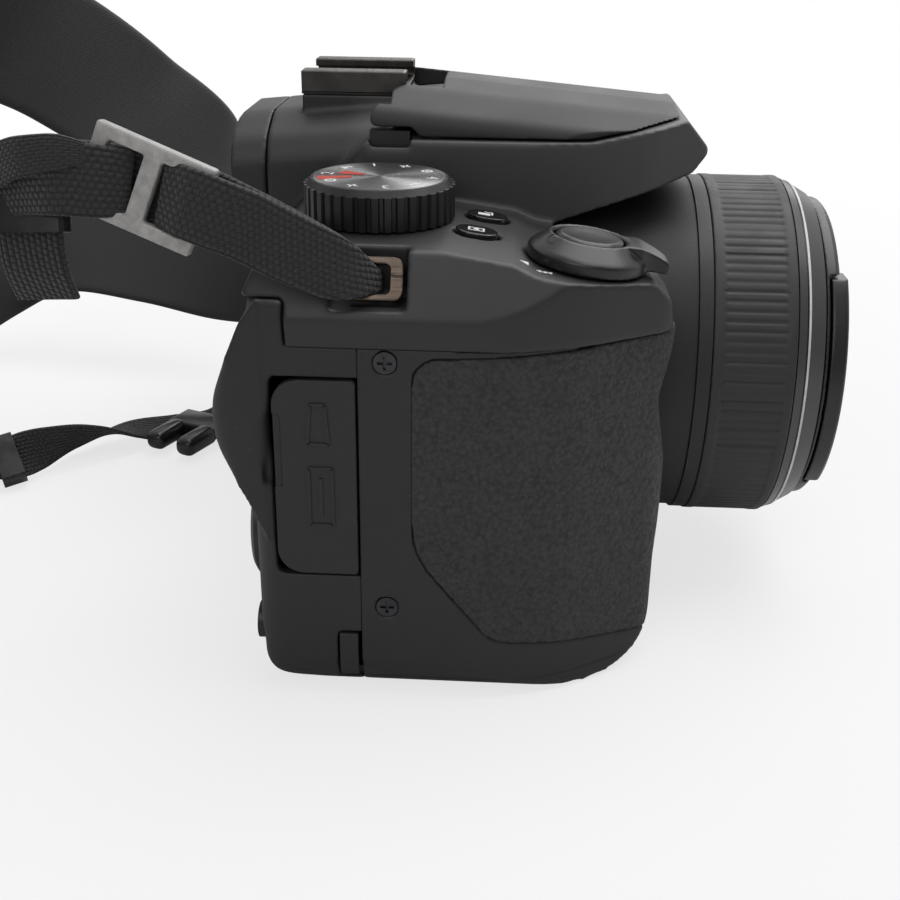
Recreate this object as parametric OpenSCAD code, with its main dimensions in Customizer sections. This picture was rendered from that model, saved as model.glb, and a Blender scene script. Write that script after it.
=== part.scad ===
// Bridge camera with a fixed zoom lens, a pop-up flash and a neck strap.
// X runs from the grip to the far side, Y from the lens to the screen, Z up from the base.
// The origin is the mouth of the tripod socket, under the lens axis. Millimetres.

/* [Body] */
// Lens axis to the outside of the grip
body_right = 60; // [58:0.5:62]
// Lens axis to the far side
body_left = 57; // [55:0.5:60]
// Socket to the front face
body_front = 10; // [9:0.5:11]
// Socket to the rear face
body_back = 35; // [34:0.5:37]
// Height of the seam under the top cover
seam_z = 60; // [59:0.5:61]
// Socket to the seam between front shell and rear cover
seam_y = 18; // [17:0.5:18.5]
// Thickness of the moulded shells
wall = 2; // [1.8:0.1:2.2]
// Radius of the rear bottom edge
heel_r = 6; // [4:0.5:8]

/* [Grip] */
// Socket to the front of the grip
grip_front = 30; // [28.5:0.5:32]
// Lens axis to the finger side of the grip
grip_inner = 38.5; // [37.5:0.5:39]
// Depth of the finger hollow
finger_hollow = 2.4; // [1:0.2:3]
// Thickness of the grip rubber
rubber_t = 1; // [0.8:0.1:1.2]
// Lower edge of the grip rubber
rubber_low = 11.5; // [9:0.5:14]
// Swell of the thumb rest behind the rear face
thumb_swell = 6; // [4:0.5:7]

/* [Top cover] */
// Height of the top cover above the seam
top_h = 13.5; // [13:0.25:14.5]
// Overhang of the top cover past the side
ridge = 0.8; // [0.4:0.1:1]
// Slope of the shutter platform
shutter_tilt = 8; // [6:0.2:10]
// Lens axis to the shutter button
shutter_x = 45; // [44:0.5:46]
// Radius of the zoom lever
lever_r = 9.1; // [8.6:0.1:9.6]
// Radius of the shutter button
shutter_r = 5.2; // [4.9:0.1:5.6]
// Radius of the mode dial
dial_r = 11.9; // [11:0.1:12.2]
// Height of the mode dial
dial_h = 6.1; // [5:0.1:7]
// Flutes around the mode dial
dial_flutes = 38; // [30:1:44]
// Travel of every push button
push = 0.7; // [0.5:0.1:0.8]

/* [Viewfinder and flash] */
// Half width of the viewfinder block
finder_half = 18.2; // [17.5:0.1:18.6]
// Rise of the viewfinder roof at the eyepiece above the top plate
finder_h = 12.1; // [11.6:0.1:12.8]
// Socket to the back of the eyepiece
finder_back = 44.4; // [43:0.2:45]
// Width of each flash arm beside the viewfinder block
arm_w = 3.4; // [3.2:0.1:3.8]
// Rise of the line under the flash lid above the top plate
lid_h = 10; // [9.5:0.25:10.5]
// Length of the hot shoe
shoe_len = 18; // [17:0.5:18.5]
// Height of the hot shoe
shoe_h = 3.9; // [3.7:0.1:4.3]

/* [Lens] */
// Standing surface to the ribbed ring
lens_rise = 10.15; // [9.75:0.05:10.65]
// Radius of the ribbed ring
ring_r = 31.85; // [31.4:0.05:32]
// Grooves around the ribbed ring
ring_grooves = 116; // [72:4:120]
// Socket to the rear of the ribbed ring
ring_rear = 38.4; // [38.2:0.2:39]
// Width of the ribbed ring
ring_w = 14.2; // [13:0.2:15]
// Radial width of the rim between ribbed ring and first zoom tube
rim_w = 4.15; // [3.9:0.05:4.8]
// Travel of each zoom tube
zoom_travel = 24; // [18:1:26]
// Running gap between sliding tubes
tube_gap = 0.3; // [0.25:0.05:0.4]
// Overlap of the lens cap past the first zoom tube
cap_lip = 0.4; // [0.2:0.1:0.7]

/* [Side and base] */
// Lower edge of the connector door
door_low = 22.5; // [21:0.5:24]
// Upper edge of the connector door below the seam
door_drop = 5; // [4:0.5:7]
// Width of the connector door
door_w = 12.6; // [11.5:0.2:13]
// Gap around doors, lids and buttons
gap = 0.3; // [0.25:0.05:0.35]
// Bore of the tripod socket
socket_bore_r = 3.175; // [3:0.025:3.3]
// Depth of the tripod socket
socket_depth = 6; // [5:0.25:6.5]

/* [Strap] */
// Width of the webbing
webbing_w = 10; // [9:0.5:11]
// Thickness of the doubled webbing
webbing_t = 2.2; // [1.8:0.1:2.4]
// Width of the neck band
band_w = 28; // [24:1:30]
// Thickness of the neck band
band_t = 1.6; // [1.2:0.1:2]

/* [Hidden] */
$fn = 64;

// Room beyond a cut, and the seat clearance of pieces that stay put
far = 200;
seat = 0.05;
arc_steps = 7;

// Heights and widths that follow the sizes above
top_z = seam_z + top_h;
finder_z = top_z + finder_h;
lid_z = top_z + lid_h;
lid_half = finder_half + arm_w;
lens_z = ring_r + lens_rise;
tube_r = ring_r - rim_w;
cap_r = tube_r + cap_lip;
door_high = seam_z - door_drop;

// Shutter platform and dial, on the top cover
hump_half = lid_half + 1.1;
dial_gap = 0.4;
dial_at = [-hump_half - dial_r - dial_gap, 17];
dial_lift = 0.3;
dial_stem_r = 3;
shutter_y = -15.2;
platform_y = -8;
platform_drop = 3;
platform_z = top_z - platform_drop;
shutter_z = platform_z - (platform_y - shutter_y) * tan(shutter_tilt);
lever_stem_r = 4.6;
lever_floor = 1.4;
lever_wall = 2;
lever_top = 4.4;
burst_at = [-30.5, 0];
finder_button_at = [-41.5, 1.4];
button_r = 2.7;
button_long = 6.6;
button_rise = 0.6;
button_tilt = 8.1;

// Viewfinder, flash and shoe
frame_y = 38.3;
hump_z = lid_z - gap;
lid_rear = 20.2;
lid_peak = lid_z + 7.8;
lid_peak_y = 11;
lid_fall = 5;
lid_notch_z = lid_z + 1.6;
arm_in = finder_half + 0.4;
hinge_y = 18.4;
hinge_z = lid_notch_z + 1.5;
hinge_pin_r = 0.7;
hinge_pin_len = 5.4;
hinge_fit = 0.06;
finder_front = 9.2;
finder_rise = 5.6;
nose_tip = [-37.4, lid_z - 2.5];
shoe_rear = 33;
shoe_half = 10.4;
shoe_stand = 0.75;
shoe_floor = finder_z + (frame_y - shoe_rear + shoe_len) * tan(finder_rise) + shoe_stand;
shoe_top = shoe_floor + shoe_h;
shoe_plate = 0.3;
shoe_lip = 1.4;
shoe_mouth = 6.4;
eye_z = finder_z - 11.1;
eye_half = [9.5, 4.8];
cup_half = [12.5, 6.5];
bridge_y = [27.1, 28.4];
bridge_h = 1.5;
flash_button_r = 3;
flash_button_at = [4, lid_z - flash_button_r - 1.2];
dioptre_at = [34.4, finder_z - 7.6];
dioptre_r = 3.4;
dioptre_stem_r = 1.2;
strip_low = hump_z - 1.5;
strip_y = [13.2, lid_rear + 0.1];

// Lens, measured forward from the socket
barrel_r = ring_r - 0.6;
barrel_seat = barrel_r + seat;
barrel_rear = -10;
core_r = ring_r - 1.6;
ring_front = ring_rear + ring_w;
bezel_front = ring_front + 5;
bore_r = tube_r + tube_gap;
inner_r = tube_r - 2.1;
tube_rear = bezel_front - zoom_travel - 17.6;
inner_rear = tube_rear - 1;
glass_seat = inner_rear + 7;
inner_front = bezel_front + 0.2;
front_glass_r = inner_r - 3;
middle_glass_r = front_glass_r - 7.6;
cap_rear = bezel_front + gap;
cap_h = 2.7;
tab_h = 1.3;
tab_half = 19;
tab_in = 16;
tab_travel = 1.5;
tab_floor = 1.1;

// Side doors
door_y0 = seam_y + gap;
door_y1 = door_y0 + door_w;
door_t = 1.7;
flap_y = [seam_y + 2 * gap, seam_y + 2 * gap + 3];
flap_low = 2.4;
flap_high = 11.4;
screw_head_r = 1.7;
screw_at = [[13.9, seam_z - 2.1], [13.9, 16.6]];

rubber_dip = 5;
lug_at = [15.4, seam_z + 9.3];
lug_floor = seam_z + 5.7;

// Rear controls and screen
screen_x = [-27, 37];
screen_z = [7.5, seam_z - 6];
pad_at = [-44, 24];
pad_r = 9.6;
centre_r = 3.8;
rear_round_r = 3.1;
play_at = [-35, 43];
menu_at = [-52.5, 9];
back_at = [-35.5, 9];
movie_at = [-38, seam_z - 3];

// Battery bay
battery_x = [-52.2, -40.6];
battery_y = [-15.8, 15];
battery_z = [2.6, 48];
bay_margin = 1.2;
bay_hinge = [battery_x[1] + 1.8, 1.3];
bay_pin_r = 0.55;
knuckle_r = 1.05;
bay_y = [battery_y[0] - bay_margin, battery_y[1] + bay_margin];
bay_pin_seat = 1.5;
bay_pin_len = bay_y[1] - bay_y[0] + 2 * bay_pin_seat;

// Outlines as [across, up, corner radius], counter-clockwise
function unit(v) = v / norm(v);
function turn(a, b, c) = (b.x - a.x) * (c.y - b.y) - (b.y - a.y) * (c.x - b.x);
function flat(p) = [p.x, p.y];
function corner_arc(a, b, c, r) =
    let (u = unit(a - b), w = unit(c - b), half = acos(u * w) / 2)
    r <= 0.01 || half > 89.5 ? [b] :
    let (
        reach = min(r / tan(half), 0.49 * min(norm(a - b), norm(c - b))),
        fit = reach * tan(half),
        centre = b + unit(u + w) * fit / sin(half),
        p = b + u * reach - centre,
        q = b + w * reach - centre,
        from = atan2(p.y, p.x),
        raw = atan2(q.y, q.x) - from,
        sweep = raw > 180 ? raw - 360 : raw < -180 ? raw + 360 : raw
    )
    [for (i = [0:arc_steps])
        let (t = from + sweep * i / arc_steps)
        centre + fit * [cos(t), sin(t)]];
function rounded(pts) =
    let (n = len(pts))
    [for (i = [0:n - 1])
        each corner_arc(flat(pts[(i + n - 1) % n]), flat(pts[i]), flat(pts[(i + 1) % n]), pts[i].z)];
function inset(pts, d) =
    let (n = len(pts))
    [for (i = [0:n - 1])
        let (
            a = flat(pts[(i + n - 1) % n]),
            b = flat(pts[i]),
            c = flat(pts[(i + 1) % n]),
            u = unit(b - a),
            w = unit(c - b),
            m = [-u.y, u.x],
            k = [-w.y, w.x],
            moved = b + (m + k) * d / (1 + m * k),
            r = turn(a, b, c) > 0 ? pts[i].z - d : pts[i].z + d
        )
        [moved.x, moved.y, pts[i].z == 0 ? 0 : max(r, 0)]];
function mirrored(half) =
    concat(half, [for (i = [len(half) - 1:-1:0]) [-half[i].x, half[i].y, half[i].z]]);

body_plan = [
    [-body_right, body_back, 5],
    [-body_right, -8.5, 40],
    [-46.2, -grip_front, 7.5],
    [-grip_inner, -grip_front, 4],
    [-36, -body_front, 4],
    [body_left, -body_front, 9],
    [body_left, body_back, 6]
];
body_side = [
    [0.6 - grip_front, 0, 12],
    [body_back, 0, heel_r],
    [body_back, seam_z + 20, 0],
    [-grip_front, seam_z + 20, 0],
    [-grip_front, seam_z - 2.5, 3],
    [finger_hollow - grip_front, seam_z - 11, 9],
    [-grip_front - 0.4, 34, 12],
    [0.7 - grip_front, 20, 30]
];
body_face = [
    [-body_right, 0, 6.5],
    [body_left, 0, 5.5],
    [body_left, seam_z + 20, 0],
    [-body_right, seam_z + 20, 0]
];
thumb_side = [
    [body_back - 2.5, 28, 0],
    [body_back + 0.8, 35.5, 4],
    [body_back + thumb_swell, 43.8, 6],
    [body_back + thumb_swell, 50, 6],
    [body_back + 0.2, seam_z + 3.5, 8],
    [body_back - 2.5, seam_z + 7, 0]
];
thumb_plan = [
    [-body_right, body_back + thumb_swell + 0.6, 5],
    [-body_right, seam_y + 3, 0],
    [-33.5, seam_y + 3, 0],
    [-33.5, body_back - 0.5, 0],
    [-45, body_back + thumb_swell + 0.6, 8]
];
top_side = [
    [28.5, seam_z, 0],
    [28.5, seam_z + 7, 1],
    [body_back, seam_z + 7, 0],
    [body_back - 1.5, top_z - 3, 3],
    [body_back - 4.5, top_z, 2.5],
    [6, top_z, 8],
    [-4.5, top_z - 1.5, 3],
    [platform_y, platform_z, 3],
    [4.4 - grip_front, platform_z - (platform_y - 4.4 + grip_front) * tan(shutter_tilt), 3],
    [1.4 - grip_front, seam_z + 4.5, 1.5],
    [0.8 - grip_front, seam_z, 0]
];
top_face = [
    [-body_right, seam_z, 0],
    [body_left, seam_z, 0],
    [body_left + ridge, seam_z + 4.5, 1.5],
    [body_left - 5, top_z + 0.7, 4],
    [hump_half, top_z + 2.5, 0],
    [-hump_half, top_z + 2.5, 0],
    [5 - body_right, top_z + 0.7, 4],
    [-body_right - ridge, seam_z + 4.5, 1.5]
];
hump_side = [
    [-body_front, seam_z, 0],
    [27, seam_z, 0],
    [27, top_z + 2.5, 0],
    [lid_rear + 0.1, hump_z, 1],
    [-16.6, hump_z, 4],
    [-31.9, hump_z + 2.9, 0],
    [-32.7, hump_z + 3.3, 0.8],
    [nose_tip.x, nose_tip.y, 1.5],
    [nose_tip.x + 3, nose_tip.y - 3.6, 1.5],
    [-body_front, lid_z - 13.9, 2]
];
hump_plan = mirrored([
    [-finder_half, 27, 0],
    [-hump_half, 21, 1],
    [-hump_half, -8, 12],
    [3 - hump_half, -27, 10],
    [9.2 - hump_half, nose_tip.x - 0.2, 3]
]);
finder_crown = mirrored([
    [9.2 - finder_half, 0, 12],
    [-finder_half, -4.4, 7],
    [-finder_half, -60, 0]
]);
frame_side = [
    [frame_y + 0.1, seam_z + 4.5, 0],
    [finder_back, seam_z + 4.5, 2],
    [finder_back, finder_z + 0.5, 4.5],
    [frame_y + 0.1, finder_z + 0.5, 0]
];
lid_side = [
    [lid_rear, lid_notch_z, 1.6],
    [lid_rear - 0.3, lid_notch_z + 2.6, 3],
    [16.6, lid_z + 6.7, 6],
    [10, lid_peak + 0.9, 10],
    [-31.8, lid_z + 4, 0],
    [-31.8, lid_z + 2.9, 0],
    [-16.4, lid_z, 6],
    [11.7, lid_z, 0.4],
    [13.2, lid_notch_z, 0.4]
];
lid_plan = mirrored([
    [-lid_half, lid_rear + 1, 0],
    [-lid_half, -8, 12],
    [3 - lid_half, -24, 10],
    [8.4 - lid_half, -32.2, 2]
]);
lid_crown = mirrored([
    [17.6 - lid_half, 0, 6],
    [8.6 - lid_half, -1.1, 12],
    [0.8 - lid_half, -4.2, 3.5],
    [-lid_half, -16, 0]
]);

// Extrusions of outlines seen from the side, from the front and from above
module along_x(x0, x1) { translate([x0, 0, 0]) rotate([90, 0, 90]) linear_extrude(x1 - x0) children(); }
module along_y(y0, y1) { translate([0, y1, 0]) rotate([90, 0, 0]) linear_extrude(y1 - y0) children(); }
module along_z(z0, z1) { translate([0, 0, z0]) linear_extrude(z1 - z0) children(); }
module box(x, y, z) { translate([x[0], y[0], z[0]]) cube([x[1] - x[0], y[1] - y[0], z[1] - z[0]]); }
module rod(p, r, dir_turn, h) { translate(p) rotate(dir_turn) cylinder(r = r, h = h); }
module around_lens() { translate([0, 0, lens_z]) rotate([90, 0, 0]) rotate_extrude() children(); }
module lens_bore(r) { translate([0, -barrel_rear, lens_z]) rotate([90, 0, 0]) cylinder(r = r, h = 80); }
module stadium(long, r) {
    union() {
        translate([r - long / 2, 0]) circle(r);
        translate([long / 2 - r, 0]) circle(r);
        translate([r - long / 2, -r]) square([long - 2 * r, 2 * r]);
    }
}
module fluted(r, depth, count, land) {
    step = 360 / count;
    polygon([for (i = [0:count - 1]) each [
        r * [cos(i * step), sin(i * step)],
        r * [cos((i + land) * step), sin((i + land) * step)],
        (r - depth) * [cos((i + land + 0.12) * step), sin((i + land + 0.12) * step)],
        (r - depth) * [cos((i + 0.88) * step), sin((i + 0.88) * step)]
    ]]);
}
module shutter_place() {
    translate([-shutter_x, shutter_y, shutter_z]) rotate([shutter_tilt, 0, 0]) children();
}

// Bodies that the shells are cut from
module lower_body(d) {
    intersection() {
        along_z(d, d > 0 ? seam_z + 1 : seam_z) polygon(rounded(inset(body_plan, d)));
        along_x(-far, far) polygon(rounded(inset(body_side, d)));
        along_y(-far, far) polygon(rounded(inset(body_face, d)));
    }
}
module top_body(d) {
    low = d > 0 ? seam_z - 1 : seam_z;
    side = [for (p = inset(top_side, d)) [p.x, p.y < seam_z + d + 0.1 ? low : p.y, p.z]];
    face = [for (p = inset(top_face, d)) [p.x, p.y < seam_z + d + 0.1 ? low : p.y, p.z]];
    intersection() {
        along_z(low, far) polygon(rounded(inset(body_plan, d - ridge)));
        along_x(-far, far) polygon(rounded(side));
        along_y(-far, far) polygon(rounded(face));
    }
}
module hump_body() {
    intersection() {
        along_x(-hump_half, hump_half) polygon(rounded(hump_side));
        along_z(0, far) polygon(rounded(hump_plan));
    }
}
module finder_roof(room) {
    translate([0, frame_y, finder_z]) rotate([-finder_rise, 0, 0])
        along_y(-60, 20) polygon(rounded(inset(finder_crown, -room)));
}
module finder_body(room) {
    intersection() {
        finder_roof(room);
        box([-far, far], [finder_front - room, frame_y + room], [seam_z - room, far]);
    }
}
module lug_block() {
    box([-far, 9 - body_right], [9.8, 23], [lug_floor - 2, far]);
    box([body_left - 9, far], [9.8, 23], [lug_floor - 2, far]);
}
module rubber_zone() {
    intersection() {
        along_x(-far, -20) polygon(rounded([
            [-far, rubber_low - rubber_dip, 0],
            [-grip_front, rubber_low - rubber_dip, 0],
            [-2.7, rubber_low - 1, 6],
            [10, 26.5, 14],
            [10, seam_z - 1.5, 4],
            [-24, seam_z - 0.1, 0],
            [-far, seam_z - 0.1, 0]
        ]));
        along_z(0, far) polygon([[-far, -far], [0.5 - grip_inner, -far], [0.5 - grip_inner, -20],
            [-grip_inner - 3, 20], [-far, 20]]);
    }
}

// Front shell: grip core, front face, base and the bay for the battery
module front_shell() color("#26272a") {
    difference() {
        lower_body(0);
        lower_body(wall);
        box([-far, far], [seam_y, far], [-1, far]);
        intersection() {
            rubber_zone();
            difference() {
                lower_body(-1);
                lower_body(rubber_t);
            }
        }
        lens_bore(barrel_seat);
        box([battery_x[0] - bay_margin, bay_hinge.x + knuckle_r + gap], bay_y, [-1, wall + 1]);
        rod([bay_hinge.x, bay_y[0] - bay_pin_seat, bay_hinge.y], bay_pin_r, [-90, 0, 0], bay_pin_len);
        rod([0, 0, -1], 6 + seat, [0, 0, 0], far / 20);
        for (p = screw_at) {
            rod([-body_right - 1, p.x, p.y], 1, [0, 90, 0], 6);
            rod([-body_right - 1, p.x, p.y], screw_head_r + 0.15, [0, 90, 0], 2);
        }
    }
}

module grip_rubber() color("#1d1e20") {
    intersection() {
        rubber_zone();
        difference() {
            lower_body(0);
            lower_body(rubber_t - seat);
        }
    }
}

// Rear cover with the thumb rest and the openings for doors, screen and buttons
module rear_cover() color("#26272a") {
    difference() {
        union() {
            difference() {
                lower_body(0);
                lower_body(wall);
            }
            intersection() {
                along_x(-far, -30) polygon(rounded(thumb_side));
                along_z(0, far) polygon(rounded(thumb_plan));
            }
            intersection() {
                along_x(-far, far) polygon([[28.6, seam_z], [body_back, seam_z], [body_back, seam_z + 3],
                    [body_back - 1, seam_z + 6.9], [28.6, seam_z + 6.9]]);
                along_z(0, far) polygon(rounded(body_plan));
            }
        }
        box([-far, far], [-far, seam_y], [-1, far]);
        box([-finder_half - gap, finder_half + gap], [20, far], [seam_z, far]);
        box([-far, 3 - body_right], [door_y0 - gap, door_y1 + gap], [door_low - gap, door_high + gap]);
        box([-far, 1.4 - body_right], [door_y1, door_y1 + 1.8], [door_low + 15, door_low + 27]);
        box([-far, 3 - body_right], [seam_y - 1, flap_y[1] + gap], [flap_low - gap, flap_high + gap]);
        box([screen_x[0] - seat, screen_x[1] + seat], [body_back - wall - 1, far],
            [screen_z[0] - seat, screen_z[1] + seat]);
        rod([pad_at.x, body_back - 8, pad_at.y], pad_r + gap, [-90, 0, 0], 20);
        for (p = [play_at, menu_at, back_at])
            rod([p.x, body_back - 8, p.y], rear_round_r + gap, [-90, 0, 0], 20);
        rod([movie_at.x, body_back - 12, movie_at.y], rear_round_r + gap, [-90, 0, 0], 30);
    }
}

module bridge(room) {
    box([-hump_half - 1, hump_half + 1], [bridge_y[0] - room, bridge_y[1] + room],
        [seam_z - room, seam_z + bridge_h + room]);
}
module top_cover() color("#2b2c2f") {
    difference() {
        union() {
            difference() {
                top_body(0);
                top_body(wall);
            }
            intersection() {
                top_body(0);
                lug_block();
            }
        }
        finder_body(seat);
        box([-hump_half - seat, hump_half + seat], [-60, 27 + seat], [seam_z - 1, far]);
        lens_bore(barrel_seat);
        rod([dial_at.x, dial_at.y, seam_z], dial_stem_r + 0.08, [0, 0, 0], 30);
        shutter_place() translate([0, 0, -12]) cylinder(r = lever_stem_r + 0.08, h = 30);
        shutter_place() cylinder(r = lever_r + gap, h = 30);
        for (p = [burst_at, finder_button_at])
            translate([p.x, p.y, seam_z]) linear_extrude(30) rotate(90)
                stadium(button_long + 2 * gap, button_r + gap);
        box([-far, 7.5 - body_right], [10.8, 22], [lug_floor, far]);
        box([body_left - 7.5, far], [10.8, 22], [lug_floor, far]);
    }
    bridge(0);
}

// Hump over the lens: viewfinder block, flash deck and the nose
module finder_housing() color("#2b2c2f") {
    difference() {
        union() {
            hump_body();
            finder_body(0);
            box([-shoe_half, shoe_half], [shoe_rear - shoe_len, shoe_rear], [finder_z - 2, shoe_floor]);
        }
        lens_bore(barrel_r + 0.5);
        bridge(seat);
        box([3.2 - finder_half, finder_half - 3.2], [-4, frame_y - 5.5], [seam_z - 1, hump_z - wall]);
        box([-eye_half.x, eye_half.x], [frame_y - 9, frame_y + 1], [eye_z - eye_half.y, eye_z + eye_half.y]);
        for (side = [-1, 1])
            rod([side * (finder_half - 4), hinge_y, hinge_z], hinge_pin_r, [0, side * 90, 0], hinge_pin_len);
        rod([hump_half - 5, flash_button_at.x, flash_button_at.y], flash_button_r + gap, [0, 90, 0], 10);
        translate([finder_half, dioptre_at.x, dioptre_at.y]) rotate([0, 90, 0]) {
            translate([0, 0, -2.4]) cylinder(r = dioptre_r + gap, h = 10);
            translate([0, 0, -5.4]) cylinder(r = dioptre_stem_r + 0.08, h = 10);
        }
        box([-lid_half - 1, -finder_half - 0.2], strip_y, [strip_low, far]);
        box([finder_half + 0.2, lid_half + 1], strip_y, [strip_low, far]);
    }
}

module eye_window(half, r) {
    polygon(rounded([[-half.x, eye_z - half.y, r], [half.x, eye_z - half.y, r],
        [half.x, eye_z + half.y, r], [-half.x, eye_z + half.y, r]]));
}
module eyepiece_frame() color("#242528") {
    difference() {
        intersection() {
            along_x(-far, far) polygon(rounded(frame_side));
            finder_roof(0);
        }
        box([-eye_half.x, eye_half.x], [frame_y - 1, finder_back + 1],
            [eye_z - eye_half.y, eye_z + eye_half.y]);
        along_y(finder_back - 2, finder_back + 1) eye_window(cup_half, 4);
    }
}

module eyecup() color("#18191a") {
    difference() {
        along_y(finder_back - 2, finder_back + 0.8) eye_window(cup_half, 4);
        along_y(finder_back - 3, finder_back + 3) eye_window(eye_half, 3);
    }
}

module eyepiece_lens() color("#9fb4c4") {
    box([seat - eye_half.x, eye_half.x - seat], [frame_y - 1, frame_y + 2.2],
        [eye_z - eye_half.y + seat, eye_z + eye_half.y - seat]);
}

module finder_display() color("#3a4a58") {
    box([-9, 9], [frame_y - 8.9, frame_y - 6.4], [eye_z - eye_half.y + seat, eye_z + 4]);
}

module dioptre_wheel() color("#202124") {
    translate([finder_half, dioptre_at.x, dioptre_at.y]) rotate([0, 90, 0]) {
        translate([0, 0, -2]) linear_extrude(3) fluted(dioptre_r, 0.3, 24, 0.45);
        translate([0, 0, -5]) cylinder(r = dioptre_stem_r, h = 3.5);
    }
}

// Pop-up flash: a lid whose two arms turn on pins beside the viewfinder block
module lid_roof(room) {
    translate([0, lid_peak_y, lid_peak]) rotate([lid_fall, 0, 0])
        along_y(-70, 30) polygon(rounded(inset(lid_crown, room)));
}
module flash_lid() color("#2d2e31") {
    difference() {
        intersection() {
            along_x(-far, far) polygon(rounded(lid_side));
            along_z(0, far) polygon(rounded(lid_plan));
            lid_roof(0);
        }
        box([-shoe_half - 0.8, shoe_half + 0.8], [finder_front - 2 * gap, far], [0, far]);
        finder_body(1.5 * gap);
        box([-arm_in, arm_in], [finder_front - 2 * gap, far], [0, lid_z + 1]);
        box([-arm_in, arm_in], [hinge_y - 1.5, far], [0, far]);
        intersection() {
            lid_roof(1.2);
            box([4 - lid_half, lid_half - 4], [-20, 6.5], [0, far]);
            along_z(0, far) polygon(rounded(inset(lid_plan, 2)));
        }
        for (side = [-1, 1])
            rod([side * (arm_in - 1), hinge_y, hinge_z], hinge_pin_r + hinge_fit, [0, side * 90, 0], 2.2);
    }
}

module flash_hinge_pins() color("#8b8d90") {
    for (side = [-1, 1])
        rod([side * (finder_half - 4), hinge_y, hinge_z], hinge_pin_r, [0, side * 90, 0], hinge_pin_len);
}

module flash_hinge_strip() color("#141516") {
    for (side = [0, 1])
        mirror([side, 0, 0])
            box([0.4 - lid_half, -finder_half - 0.2], [strip_y[0] + 0.2, strip_y[1] - 0.2],
                [strip_low, lid_notch_z - 2 * gap]);
}

module flash_window() color("#d5dde2") {
    along_x(12.1 - lid_half, lid_half - 12.1)
        polygon([[-6.6, lid_z + 2.4], [-3.6, lid_z + 0.3], [-2.9, lid_z + 1.3], [-5.9, lid_z + 3.4]]);
}

module flash_reflector() color("#c9ccd0") {
    difference() {
        along_x(12.6 - lid_half, lid_half - 12.6)
            polygon([[-5.85, lid_z + 3.4], [-2.85, lid_z + 1.3], [4, lid_z + 1.6], [4, lid_z + 4.4]]);
        along_x(13.6 - lid_half, lid_half - 13.6)
            polygon([[-5.6, lid_z + 2.9], [-3, lid_z + 1.4], [2, lid_z + 2.4], [2, lid_z + 3.6]]);
    }
    rod([13.1 - lid_half, -0.6, lid_z + 2.9], 0.6, [0, 90, 0], 2 * lid_half - 26.2);
}

module flash_button() color("#1f2022") {
    rod([hump_half - 3.6, flash_button_at.x, flash_button_at.y], flash_button_r, [0, 90, 0], 3.8 + push);
}

// Accessory shoe
module shoe_rails() color("#3b3a38") {
    floor_z = shoe_floor + shoe_plate;
    difference() {
        box([-shoe_half, shoe_half], [shoe_rear - shoe_len, shoe_rear], [floor_z, shoe_top]);
        box([1.2 - shoe_half, shoe_half - 1.2], [shoe_rear - shoe_len - 1, shoe_rear + 1],
            [floor_z + 0.5, shoe_top - shoe_lip]);
        box([-shoe_mouth, shoe_mouth], [shoe_rear - shoe_len - 1, shoe_rear + 1],
            [shoe_top - shoe_lip - 1, far]);
        box([-5.5 - seat, 5.5 + seat], [shoe_rear - shoe_len + 1 - seat, shoe_rear - 3 + seat],
            [0, floor_z + 1]);
    }
}

module shoe_base() color("#202123") {
    floor_z = shoe_floor + shoe_plate;
    box([-shoe_half, shoe_half], [shoe_rear - shoe_len, shoe_rear], [shoe_floor, floor_z]);
    box([-5.5, 5.5], [shoe_rear - shoe_len + 1, shoe_rear - 3], [floor_z, floor_z + 0.6]);
    for (p = [[0, -9], [-3, -6], [3, -6], [0, -13]])
        rod([p.x, shoe_rear + p.y, floor_z + 0.6], 0.7, [0, 0, 0], 0.2);
}

// Controls on the top
module mode_dial() color("#1b1c1e") {
    base = top_z + dial_lift;
    translate([dial_at.x, dial_at.y, base]) {
        difference() {
            union() {
                linear_extrude(dial_h - 0.9) fluted(dial_r, 0.45, dial_flutes, 0.5);
                translate([0, 0, dial_h - 0.9]) cylinder(r1 = dial_r - 0.45, r2 = dial_r - 1.1, h = 0.9);
            }
            translate([0, 0, dial_h - 0.4]) cylinder(r = dial_r - 1.4, h = 1);
        }
        translate([0, 0, -3.2]) cylinder(r = dial_stem_r, h = 3.3);
    }
}

module dial_plate() color("#b9bcc0") {
    translate([dial_at.x, dial_at.y, top_z + dial_lift + dial_h - 0.4])
        cylinder(r = dial_r - 1.4 - seat, h = 0.45);
}

module oval_button(at) {
    intersection() {
        translate([at.x, at.y, top_z - 2.6]) linear_extrude(2.6 + button_rise) rotate(90)
            stadium(button_long, button_r);
        translate([at.x, at.y, top_z + button_rise - (6 - at.y) * tan(button_tilt)]) rotate([button_tilt, 0, 0])
            box([-9, 9], [-9, 9], [-9, 0]);
    }
}
module burst_button() color("#212225") { oval_button(burst_at); }
module finder_button() color("#212225") { oval_button(finder_button_at); }

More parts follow.
